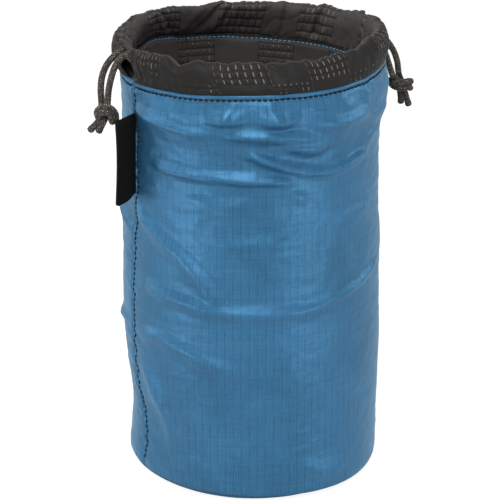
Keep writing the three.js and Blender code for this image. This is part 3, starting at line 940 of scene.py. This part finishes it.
def wall_place(angle, z, radius):
    """A point of the shell, carried round and up with the settled cloth."""
    angle, z = np.broadcast_arrays(np.asarray(angle, float), np.asarray(z, float))
    turned = settled_at(settled_round, angle, z)
    for _, off in seam_offs(angle, z):
        turned = turned * smoothstep(0, 3, off)
    free = smoothstep(0, 8, z) * smoothstep(WALL_TOP, TOPSTITCH - 3, z)
    height = z + settled_at(settled_up, angle, z) * free + lean(OUTER_LEAN, angle, z) + foot_rise(angle, z)
    return round_axis(angle + turned, radius, height)


def wall_point(angle, z, half, out=0.0):
    """Place on the shell's outside."""
    return wall_place(angle, z, wall_radius(angle, z) + wall_lift(angle, z, half) + out)


def foot_profile(count):
    """Radius change and height round the bottom edge, from the base seam up to the wall."""
    bend = np.radians(np.linspace(-BASE_SEAM_ANGLE, 0, count))
    tuck = 1.4 * smoothstep(0.3, 0, np.linspace(0, 1, count))
    return CORNER * (np.cos(bend) - 1) - tuck, CORNER + CORNER * np.sin(bend) + 0.3 * tuck


def shell_half(half):
    foot_out, foot_z = foot_profile(16)
    heights = np.linspace(CORNER, SHELL_TOP, int((WALL_TOP - CORNER) / STEP))
    z = np.concatenate([foot_z, heights[1:]])
    curl = np.concatenate([foot_out, np.zeros(len(heights) - 1)])
    first, last = half_ends(z, half)
    share = np.linspace(0, 1, int(GIRTH / 2 / STEP))
    angle = first[:, None] + (last - first)[:, None] * share[None, :]
    height = np.broadcast_to(z[:, None], angle.shape)
    lift = wall_lift(angle, height, half) * smoothstep(0, 9, height)
    top = smoothstep(WALL_TOP - 0.6, SHELL_TOP, height)
    points = wall_place(angle, height, wall_radius(angle, height) + lift + curl[:, None] - 1.2 * top)
    uv = np.stack([np.radians(angle) * RADIUS * MM, height * MM], axis=-1)
    piece = grid_piece(f"{half}_shell_cloth", points, uv)
    finish_piece(piece, "pouch", "shell_cloth", shell_look, f"{half}_shell_panel")
    return piece


shells = {half: shell_half(half) for half in SPANS}

# Round panels
DISC_COLS = 240
MIDDLE = 0.4  # radius of the small round that closes a panel's middle


def disc_piece(name, line, lift, uv_scale, look, slot, node, flip=False):
    """A panel along a line of (radius, height) from its middle out. lift is added to the height."""
    turns = np.linspace(0, 360, DISC_COLS, endpoint=False)
    radius, turn = np.meshgrid(line[:, 0], turns, indexing="ij")
    level = line[:, 1][:, None]
    points = round_axis(turn, radius, level + lift(radius, turn, level))
    full = np.radians(np.linspace(0, 360, DISC_COLS + 1))
    uv = line[:, 0][:, None, None] * np.stack([np.sin(full), np.cos(full)], axis=-1) * uv_scale
    finish_piece(grid_piece(name, points, uv, closed=True, flip=flip), "pouch", slot, look, node)


def shell_base():
    seam = math.radians(BASE_SEAM_ANGLE)
    seam_radius = RADIUS - CORNER + CORNER * math.cos(seam)
    seam_height = CORNER - CORNER * math.sin(seam)
    line = resample([
        (MIDDLE, 0.9), (20, 0.6), (40, 0.25), (52, 0.05), (56.5, 0.1), (58, 0.4), (59.6, 1.3),
        (seam_radius - 0.5, seam_height - 0.5), (seam_radius - 2.2, seam_height + 0.4),
    ], 1.6)

    def lift(radius, turn, level):
        wave = 0.12 * ripples(turn, radius, 31, 30) * smoothstep(0, 12, radius)
        return np.abs(wave) + foot_rise(turn, level) * smoothstep(30, RADIUS, radius)

    disc_piece("shell_base_cloth", line, lift, (MM, MM), base_look, "shell_cloth", "shell_base", flip=True)


shell_base()

# Lining
LINING_DEPTH = 7.3
LINING_FOOT = 7.3
LINING_MIDDLE = 150.0  # above it the mesh is finer
INNER_STITCH = 202.0
# Where the squares of the chequer meet round the pouch: gathering makes them uneven. The first
# number of squares, then the angle of that and of each one after it
COLUMN_MARKS = {
    "front": (-3, [-96, -78.2, -63.6, -39, -17.2, -0.7, 18.2, 40, 62, 84, 106]),
    "back": (-2, [66, 88, 109.6, 130.9, 149.2, 172.1, 193.3, 216.5, 239, 262, 285]),
}


def columns_at(angle, half):
    first, marks = COLUMN_MARKS[half]
    return np.interp(angle, marks, first + np.arange(len(marks)))


def waffle_relief(columns, rows):
    """Puffed ribs in every other square of the chequer, 0 to 1."""
    ribbed = (np.floor(columns) + np.floor(rows)) % 2 == 0
    across = np.abs(np.sin(math.pi * RIB_COLUMNS * (columns - np.floor(columns))))
    up = np.abs(np.sin(math.pi * RIB_ROWS * (rows - np.floor(rows))))
    return np.where(ribbed, across**0.7 * up**0.5, 0.45)


def lining_half(half):
    z = np.concatenate([np.arange(WALL_TOP, LINING_MIDDLE, -0.8), np.arange(LINING_MIDDLE, 7.2, -2.0)])
    height, turn = np.meshgrid(z, np.linspace(*SPANS[half], 260), indexing="ij")
    columns = columns_at(turn, half)
    rows = 1 + (WALL_TOP - height) / SQUARE
    sag = 0.5 * ripples(turn, height, 21, 40, 0.8) + 0.15 * ripples(turn, height, 22, 14)
    sag = np.maximum(sag, -0.4) * smoothstep(WALL_TOP, WALL_TOP - 8, height)
    relief = 0.45 * waffle_relief(columns, rows) * smoothstep(WALL_TOP, WALL_TOP - 3, height)
    stitch = 0.7 * bump(height, INNER_STITCH, 0.9)
    radius = wall_radius(turn, height) - LINING_DEPTH - sag - relief + stitch
    points = round_axis(turn, radius, height + lean(INNER_LEAN, turn, height))
    piece = grid_piece(f"{half}_lining_cloth", points, np.stack([columns, rows], axis=-1))
    finish_piece(piece, "pouch", "lining_cloth", lining_look, f"{half}_lining_panel")
    return piece


linings = {half: lining_half(half) for half in SPANS}


def lining_base():
    radii = np.concatenate([np.linspace(MIDDLE, 50, 60), np.linspace(50.6, 55.2, 10)])
    line = np.stack([radii, np.full(len(radii), LINING_FOOT)], axis=1)

    def lift(radius, turn, _):
        flat = round_axis(turn, radius, 0) / SQUARE
        return 0.3 * waffle_relief(flat[..., 0], flat[..., 1]) + 0.3 * (ripples(turn, radius, 24, 45) + 1)

    uv_scale = (1 / SQUARE, -1 / SQUARE)
    disc_piece("lining_base_cloth", line, lift, uv_scale, lining_look, "lining_cloth", "lining_base")


lining_base()

# Foam
FOAM_OUT = 1.85  # depth of its two faces in the wall, at the ends of its swell
FOAM_IN = 5.85
FOAM_SWELL = 0.35
FOAM_FOOT = 8.5
FOAM_TOP = WALL_TOP - 3.5
FOAM_END = 2.2  # degrees from each seam
FOAM_EDGE = 1.2  # how far the upper and lower edges draw in
FOAM_CROWN = 1.6  # and how far they stand out
FOAM_PINCH = 0.6  # how much thinner it gets towards the seams


def foam_piece(name, points, node, flip=False):
    rows, cols = points.shape[:2]
    uv = np.zeros((rows, cols + 1, 2))
    uv[..., 0] = np.linspace(0, 0.4, cols + 1)
    uv[..., 1] = np.linspace(0, 0.2, rows)[:, None]
    piece = grid_piece(name, points, uv, closed=True, caps=True, flip=flip)
    finish_piece(piece, "pouch", "foam", foam_look, node)
    return piece


def foam_half(half):
    heights = np.linspace(FOAM_FOOT, FOAM_TOP, 60)
    first, last = half_ends(heights, half)
    first, last = first + FOAM_END, last - FOAM_END
    swell = FOAM_SWELL * np.sin(np.linspace(0, math.pi, 60)) ** 0.5
    z = np.concatenate([heights, [FOAM_TOP + FOAM_CROWN] * 2, heights[::-1], [FOAM_FOOT - FOAM_CROWN] * 2])
    rows = []
    for share in np.linspace(0, 1, 72):
        a = first + (last - first) * share
        pinch = FOAM_PINCH * (1 - smoothstep(0, 0.05, min(share, 1 - share)))
        outer = wall_radius(a, heights) - FOAM_OUT + swell - pinch
        inner = wall_radius(a, heights) - FOAM_IN - swell
        crown = [outer[-1] - FOAM_EDGE, inner[-1] + FOAM_EDGE]
        sole = [inner[0] + FOAM_EDGE, outer[0] - FOAM_EDGE]
        turn = np.concatenate([a, a[-1:], a[-1:], a[::-1], a[:1], a[:1]])
        radius = np.concatenate([outer, crown, inner[::-1], sole])
        rows.append(round_axis(turn, radius, z + lean(OUTER_LEAN, turn, z)))
    return foam_piece(f"{half}_foam_pad", np.array(rows), f"{half}_foam_panel", flip=True)


foams = {half: foam_half(half) for half in SPANS}


def foam_base():
    profile = resample([
        (MIDDLE, 1.9), (30, 1.4), (50, 1.3), (53.6, 1.9), (54.6, 3.4), (53.6, 5.4), (50, 6.3), (30, 6.5),
        (MIDDLE, 6.7),
    ], 1.5)
    turn = np.linspace(0, 360, 96, endpoint=False)
    return foam_piece("base_foam_pad", np.array([round_axis(turn, r, z) for r, z in profile]), "base_foam")


foam_base()

# Collar
COLLAR_BASE = 204.0
COLLAR_TALL = 14.3
COLLAR_HALF = 4.3
COLLAR_RUN = math.pi * 60  # mm round half of the mouth
MOUTH_WIDE = 63.0
MOUTH_DEEP = 52.5
COLLAR_OUTLINE = [
    (3.75, -0.1), (4.45, 2.2), (4.7, 5.4), (4.5, 8.4), (3.8, 11.2), (2.3, 13.4), (0.4, 14.2),
    (-1.6, 13.7), (-3.3, 11.8), (-4.1, 8.8), (-4.2, 5.4), (-4.0, 2.4), (-3.7, 0.0),
]
SECTION_STEPS = 84
STATIONS = 330
EXIT_GAP = 7.5
EXIT_SHAPE = [(0.0, 0.42), (0.3, 1.0), (1.0, 1.0)]
END_ROUND = 6.0  # mm over which each end of the tunnel is rounded in
END_TUCK = 1.3
TUNNEL_WALL = 1.0
HEM_REACH = 16.0  # how far the cloth is seen to run back into the tunnel at each end
HEM_STEPS = 8
OUTSIDE_ROW = {"front": 4.9, "back": 15.0}  # first chequer boundary above the collar's lower edge
# Valleys across the back collar's inside: angle at the rim, angle at the stitch line, depth, width
BACK_CREASES = [
    (168.5, 184, 1.5, 3.0), (174, 190, 0.9, 2.4), (164, 172, 0.8, 1.6), (206, 199, 1.0, 2.0),
    (226, 236, 1.7, 2.2), (236, 245, 1.5, 2.0), (246, 252, 1.3, 1.8), (256, 259, 1.2, 1.8),
    (119, 121, 1.1, 1.4), (139, 138, 0.7, 1.4),
]
CREASE_DEGREE = math.radians(56.0)  # mm for one degree round the collar's inside
PLEAT = 5.4  # mm from one small pleat to the next, at the ends of the tunnel
PLEAT_HIGH = 0.55
PLEAT_FADE = 13.0


# The rim's own ups and downs: peaks and one notch as (height, angle, width), and ripples as
# (height, seed, wave)
RIM_PEAKS = {
    "front": [(-2.6, -54.5, 3.6), (0.8, -64, 5), (0.8, -45, 7)],
    "back": [(0.9, 170, 3), (0.7, 119, 3), (0.6, 207, 4)],
}
RIM_RIPPLES = {"front": [(0.2, 41, 12)], "back": [(0.45, 42, 20), (0.15, 46, 7)]}
RIM_GATHERS = 46  # even small gathers round the front's rim, for a whole turn
RIM_GATHER = 0.28


def rim_rise(angle, half):
    """How far the rim stands above or below its lean."""
    turn = np.asarray(angle, float)
    rise = sum(height * bump(turn, place, width) for height, place, width in RIM_PEAKS[half])
    if half == "front":
        rise = rise + RIM_GATHER * np.sin(np.radians(turn * RIM_GATHERS))
    return rise + sum(height * ripples(turn, 0, seed, wave) for height, seed, wave in RIM_RIPPLES[half])


def tunnel_oval(share):
    """Half width and half depth of the tunnel's middle line at a share of its height."""
    middle = body_radius(WALL_TOP) - WALL_THICK / 2
    return middle + (MOUTH_WIDE - middle) * share, middle + (MOUTH_DEEP - middle) * share


def tunnel_lean(angle, share, rise, outside):
    """How far the tunnel stands above level. outside is 1 on its outer face, 0 on its inner one."""
    rim = lean(RIM_LEAN, angle, WALL_TOP) + rise * smoothstep(0.25, 1.0, share)
    low = outside * lean(OUTER_LEAN, angle, WALL_TOP) + (1 - outside) * lean(INNER_LEAN, angle, WALL_TOP)
    high = smoothstep(0.1, 1.0, share)
    return rim * high + low * (1 - high)


def collar_section():
    """Points across the tunnel as (out, up), the side that each faces, and how wide it gapes."""
    line = resample(COLLAR_OUTLINE, count=SECTION_STEPS)
    tangent = np.gradient(line, axis=0)
    facing = unit(np.stack([tangent[:, 1], -tangent[:, 0]], axis=1))
    # the hole for the cord is in the outer face; inside and on top the two halves meet
    tall = np.clip(line[:, 1] / COLLAR_TALL, 0, 1)
    outward = (line[:, 0] / COLLAR_HALF + 1) / 2
    gape = EXIT_GAP * smoothstep(0.45, 0.95, outward) * table_at(EXIT_SHAPE, tall)
    return line, facing, gape * (1 - 0.75 * smoothstep(0.82, 0.98, tall)) - 0.15


def collar_lumps(half, angle, height, run, crown, share):
    """Gathers, pleats at the ends and creases, as a height off the cloth."""
    lumps = 0.55 * ripples(angle, height * 1.4, 43, 34) + 0.2 * ripples(angle, height, 44, 12)
    from_end = np.minimum(share, 1 - share)[:, None] * COLLAR_RUN
    pleat = np.sin(2 * math.pi * from_end / PLEAT + 1.3 * ripples(angle, height, 45, 30))
    lumps = lumps + PLEAT_HIGH * pleat * np.exp(-from_end / PLEAT_FADE)
    lumps = lumps + 0.1 * ripples(angle, height, 47, 5.0) - 0.35 * creases(angle, height, 48, 26)
    if half == "back":
        down = np.clip((run - run[crown]) / (run[-1] - run[crown]), -0.25, 1)[None, :]
        inside = smoothstep(-0.25, 0.15, down)
        for at_rim, at_stitch, depth, width in BACK_CREASES:
            off = (angle - at_rim - (at_stitch - at_rim) * down) * CREASE_DEGREE
            valley = bump(off, 0, width) - 0.5 * bump(off, 1.9 * width, width)
            lumps = lumps - depth * valley * inside
    return lumps * smoothstep(0, 4, run) * smoothstep(0, 4, run[-1] - run)


def collar_half(half):
    start, end = SPANS[half]
    line, facing, gape = collar_section()
    run = run_along(line)
    crown = np.argmax(line[:, 1])
    outside = (np.arange(len(run)) < crown).astype(float)

    def section(along, depth):
        """along is 0 to 1 from end to end, depth goes into the cloth."""
        out, up = (line - facing * depth).T
        t = np.clip(up / COLLAR_TALL, 0, 1)
        wide, deep = tunnel_oval(t)
        back = np.degrees(np.arcsin(np.clip(gape / (deep + out), -1, 1)))
        angle = start + back + along * (end - start - 2 * back)
        x, y = (wide + out) * np.sin(np.radians(angle)), -(deep + out) * np.cos(np.radians(angle))
        z = COLLAR_BASE + up + tunnel_lean(angle, t, rim_rise(angle, half), outside)
        return np.stack([x, y, z], axis=1), angle

    share = np.linspace(0, 1, STATIONS)
    round_in = 1 - smoothstep(0, END_ROUND / COLLAR_RUN, np.minimum(share, 1 - share))
    sections = [section(s, END_TUCK * r**2) for s, r in zip(share, round_in)]
    points, angle = (np.array(part) for part in zip(*sections))
    columns = columns_at(angle, half)
    rows = (run - OUTSIDE_ROW[half]) / SQUARE + 0 * columns
    height = np.broadcast_to(line[:, 1], columns.shape)
    relief = 0.5 * (waffle_relief(columns, rows) - 0.45)
    relief = relief * smoothstep(0, 2, run) * smoothstep(0, 1.5, run[-1] - run)
    amount = collar_lumps(half, angle, height, run, crown, share) + relief
    normal = unit(np.cross(np.gradient(points, axis=1), np.gradient(points, axis=0)))
    if np.mean(np.sum(normal[:, :10] * points[:, :10] * (1, 1, 0), axis=-1)) < 0:
        normal = -normal
    points = points + normal * amount[..., None]
    # the hems: at both ends the section goes on inside, back along the tunnel
    hem = np.arange(1, HEM_STEPS + 1) / HEM_STEPS
    depths = TUNNEL_WALL * np.sin(np.minimum(1.0, hem * 3) * math.pi / 2) + END_TUCK + 0.25
    reach = hem**2 * HEM_REACH / COLLAR_RUN
    near = np.array([section(h, d)[0] for h, d in zip(reach, depths)])
    far = np.array([section(1 - h, d)[0] for h, d in zip(reach, depths)])
    points = np.concatenate([near[::-1], points, far], axis=0)
    uv = np.pad(np.stack([columns, rows], axis=-1), ((HEM_STEPS, HEM_STEPS), (0, 0), (0, 0)), mode="edge")
    uv = np.concatenate([uv, uv[:, :1]], axis=1)
    piece = grid_piece(f"{half}_collar_cloth", points, uv, closed=True, flip=True)
    finish_piece(piece, "pouch", "lining_cloth", collar_looks[half], f"{half}_collar")
    return piece


collars = {half: collar_half(half) for half in SPANS}

# Drawcords in the tunnel
DRAWCORD_HEIGHTS = {"left": 9.9, "right": 5.6}
CORD_END = 8.1  # each end of the loop stands this far off the seam
CORD_ASIDE = 0.5  # opposite its own exit the cord keeps clear of the other cord's strands


def drawcord(side_name, side):
    share = DRAWCORD_HEIGHTS[side_name] / COLLAR_TALL
    wide, deep = tunnel_oval(share)
    begin = math.asin(CORD_END / deep)
    sweep = np.linspace(begin, 2 * math.pi - begin, 60)
    aside = CORD_ASIDE * smoothstep(0.35, 0.1, np.abs(sweep - math.pi))
    x, y = side * (wide - aside) * np.cos(sweep), deep * np.sin(sweep)
    angle = np.degrees(np.arctan2(x, -y))
    angle = np.where(angle < LEFT, angle + 360, angle)
    rise = np.where(angle < RIGHT, rim_rise(angle, "front"), rim_rise(angle, "back"))
    # at both seams it keeps the height at which the cords pass out
    drop = tunnel_lean(angle, share, rise, 0.5) * smoothstep(0.12, 0.5, np.abs(np.sin(sweep)))
    loop = np.stack([x, y, COLLAR_BASE + DRAWCORD_HEIGHTS[side_name] + drop], axis=1)
    piece, _ = cord_tube(f"{side_name}_drawcord_braid", loop, CORD, spacing=0.8, sides=20, relief=0.05)
    finish_piece(piece, "pouch", "cord", cord_look, f"{side_name}_drawcord")


drawcord("left", -1)
drawcord("right", 1)

# Label
LABEL_WIDE = 12.8
LABEL_TALL = 41.8
LABEL_TOP = 185.1
LABEL_DROOP = 0.6
LABEL_SWEEP = 2.6  # the lower edge curves up this much at the seam
LABEL_HALF = 0.5
LABEL_TAPE = 0.35
LABEL_LEAN = 27.0
LABEL_ROOT = 62.7
LABEL_TUCK = 1.2  # how far it goes into the seam
LABEL_CORNER = 1.6
LABEL_SEAM = [(0, 1.7), (1, 3.0)]  # degrees that its seam stands to the front, low and high


def label_row(x, y, h):
    """The folded tape's outline at one height, out from the seam."""
    share = h / LABEL_TALL
    inset = max(0, LABEL_CORNER - min(h, LABEL_TALL - h))
    corner = LABEL_CORNER - math.sqrt(max(0, LABEL_CORNER**2 - inset**2))
    wide = x / LABEL_WIDE
    bow = 0.9 * np.sin(math.pi * share) * wide**2
    curl = 0.5 * np.sin(math.pi * np.clip(wide, 0, 1)) * np.cos(2.2 * share)
    side = y * (0.75 + 0.25 * smoothstep(0, 3.0, x)) + bow - curl
    drop = LABEL_DROOP * wide - 0.5 * wide**2 * (0.5 - share)
    sweep = LABEL_SWEEP * np.clip(1 - x / 7.5, 0, 1) ** 2
    up = sweep + h * (LABEL_TALL - sweep) / LABEL_TALL - drop
    return np.stack([x * (1 - corner / LABEL_WIDE), side, up], axis=1)


def label_piece():
    """A folded strip: two layers from the seam out to a round fold, with rounded outer corners."""
    leaf = np.linspace(-LABEL_TUCK, LABEL_WIDE - LABEL_HALF, 30)
    bend = np.radians(np.linspace(-90, 90, 9)[1:-1])
    x = np.concatenate([leaf, LABEL_WIDE - LABEL_HALF + LABEL_HALF * np.cos(bend), leaf[::-1]])
    y = LABEL_HALF * np.concatenate([np.full(len(leaf), -1), np.sin(bend), np.full(len(leaf), 1)])
    rows = np.linspace(0, LABEL_TALL, 80)
    out, side, up = np.moveaxis(np.array([label_row(x, y, h) for h in rows]), -1, 0)
    turn = math.radians(180 + LABEL_LEAN)
    root = round_axis(LEFT + table_at(LABEL_SEAM, rows / LABEL_TALL), LABEL_ROOT, 0)[:, None]
    points = np.stack([
        out * math.cos(turn) - side * math.sin(turn) + root[..., 0],
        out * math.sin(turn) + side * math.cos(turn) + root[..., 1],
        up + LABEL_TOP - LABEL_TALL,
    ], axis=-1)
    run = run_along(np.stack([x, y], axis=1))
    uv = np.stack(np.meshgrid(run, rows), axis=-1) * MM
    piece = grid_piece("side_label_tape", points, uv)
    solid = piece.modifiers.new("cloth", "SOLIDIFY")
    solid.thickness = LABEL_TAPE * MM
    solid.offset = 0
    finish_piece(piece, "label", "label", label_look, "side_label")


label_piece()

# Stitches
STITCH = 2.6
STITCH_GAP = 0.25  # the share of a stitch's length between it and the next
TOP_THREAD, BOBBIN_THREAD, INNER_THREAD, SEAM_THREAD = 0.42, 0.2, 0.3, 0.36  # radius
SEAM_FOOT, SEAM_TOP = 8, 199
STITCH_SIDES = 6
STITCH_RINGS = 5


def stitches(name, runs, radius, material, slot="shell_cloth", arch=0.6):
    """One joined mesh of short threads, each a small capsule that arches off the cloth."""
    points, faces = [], []
    for a, b, n in runs:
        along = unit(b - a)
        side = unit(np.cross(along, n))
        up = np.cross(side, along)
        base = len(points)
        for t in np.linspace(0, 1, STITCH_RINGS):
            wide = radius * math.sin(math.pi * (0.12 + 0.76 * t)) ** 0.5
            centre = a + (b - a) * t + up * radius * arch * math.sin(math.pi * t)
            for w in np.arange(STITCH_SIDES) * 2 * math.pi / STITCH_SIDES:
                points.append(centre + side * wide * math.cos(w) + up * wide * math.sin(w))
        for i in range(STITCH_RINGS - 1):
            here, there = base + i * STITCH_SIDES, base + (i + 1) * STITCH_SIDES
            for k in range(STITCH_SIDES):
                j = (k + 1) % STITCH_SIDES
                faces.append([here + k, there + k, there + j, here + j])
        faces.append([base + k for k in range(STITCH_SIDES)])
        faces.append([base + (STITCH_RINGS - 1) * STITCH_SIDES + k for k in reversed(range(STITCH_SIDES))])
    finish_piece(make_mesh(name, points, faces), "pouch", slot, material)


def seam_run(place, positions, gap, outward=1):
    """Start, end and outward direction of each stitch at positions along a seam."""
    for p, q in zip(positions[:-1], positions[1:]):
        a, b = place(p + (q - p) * gap / 2), place(q - (q - p) * gap / 2)
        yield a, b, outward * unit((a + b) / 2 * (1, 1, 0))


def mouth_stitches(half, start, end):
    """The topstitch, its light thread between the stitches, and the inner stitch line."""
    spots = np.linspace(start, end, int((end - start) * DEGREE / STITCH) + 1)

    def outside(drop, out):
        return lambda a: wall_point(np.array(a), np.array(TOPSTITCH - drop), half, out)

    def inside(a):
        radius = body_radius(INNER_STITCH) - LINING_DEPTH + 0.35
        return round_axis(np.array(a), radius, INNER_STITCH + lean(INNER_LEAN, a, INNER_STITCH))

    stitches(f"{half}_topstitch", seam_run(outside(0, 0.35), spots, STITCH_GAP), TOP_THREAD, dark_thread)
    row = list(seam_run(outside(0.5, 0.3), spots, STITCH_GAP))
    beads = [(this[1], after[0], this[2]) for this, after in zip(row[:-1], row[1:])]
    stitches(f"{half}_topstitch_bobbin", beads, BOBBIN_THREAD, blue_thread)
    row = seam_run(inside, spots, 0.42, outward=-1)
    stitches(f"{half}_inner_stitch", row, INNER_THREAD, blue_thread, slot="lining_cloth")


def side_stitches(side, beside):
    """Stitches up a side seam, beside degrees off it."""
    spots = np.linspace(SEAM_FOOT, SEAM_TOP, int((SEAM_TOP - SEAM_FOOT) / STITCH))

    def place(z):
        return wall_point(seam_angle(np.array(z), side) + beside, np.array(z), "front", 0.25)

    stitches(f"{side}_seam_stitch", seam_run(place, spots, 0.28), SEAM_THREAD, dark_thread, arch=0.2)


mouth_stitches("front", LEFT + 5, RIGHT - 2)
mouth_stitches("back", RIGHT + 1, SPANS["back"][1] + 2)
side_stitches("left", 1.2)
side_stitches("right", -1.2)

# Room
FLOOR_DROP = 0.15
FLOOR_SIZE = 6.0


def floor_material():
    g = new_graph("floor_look")
    g.tree.nodes.clear()
    pale = g.give("BsdfDiffuse", Color=(0.42, 0.42, 0.42, 1))
    glow = g.give("Emission", Color=WHITE, Strength=0.86)
    lit = g.give("BsdfDiffuse", Color=(0.85, 0.85, 0.85, 1))
    g.backdrop("OutputMaterial", lit, g.join("AddShader", None, range(2), (pale, glow)))
    return g.owner


def floor_piece():
    half, z = FLOOR_SIZE / 2, -FLOOR_DROP * MM
    mesh = bpy.data.meshes.new("floor")
    corners = [(-half, -half, z), (half, -half, z), (half, half, z), (-half, half, z)]
    mesh.from_pydata(corners, [], [(0, 1, 2, 3)])
    mesh.materials.append(floor_material())
    floor = bpy.data.objects.new("floor", mesh)
    bpy.context.collection.objects.link(floor)


def studio():
    world = bpy.data.worlds.new("studio")
    bpy.context.scene.world = world
    g = Graph(world)
    g.tree.nodes.clear()
    soft = g.give("Background", Color=WHITE, Strength=0.16)
    g.backdrop("OutputWorld", soft, g.give("Background", Color=WHITE, Strength=1.0))


floor_piece()
studio()

LIGHTS = [
    # name, angle from the front, distance, height, size, watts
    ("front_low_box", -30, 950, 330, 460, 1.35),
    ("front_high_box", -30, 800, 820, 400, 3.7),
    ("left_low_box", -132, 850, 300, 400, 1.6),
    ("left_high_box", -112, 700, 700, 350, 1.2),
    ("foot_left_box", -80, 420, 36, 160, 0.52),
    ("foot_right_box", 18, 420, 36, 160, 0.44),
    ("right_box", 70, 850, 350, 350, 1.8),
    ("top_box", -40, 300, 900, 320, 4.8),
]
LIGHT_AIM = 110.0
for name, angle, distance, height, size, power in LIGHTS:
    lamp_data = bpy.data.lights.new(name, "AREA")
    lamp_data.size = size * MM
    lamp_data.energy = power
    lamp = bpy.data.objects.new(name, lamp_data)
    lamp.visible_camera = False
    place_at(lamp, Vector(round_axis(angle, distance, height) * MM), Vector((0, 0, LIGHT_AIM * MM)))

bpy.context.scene.view_settings.view_transform = "Standard"
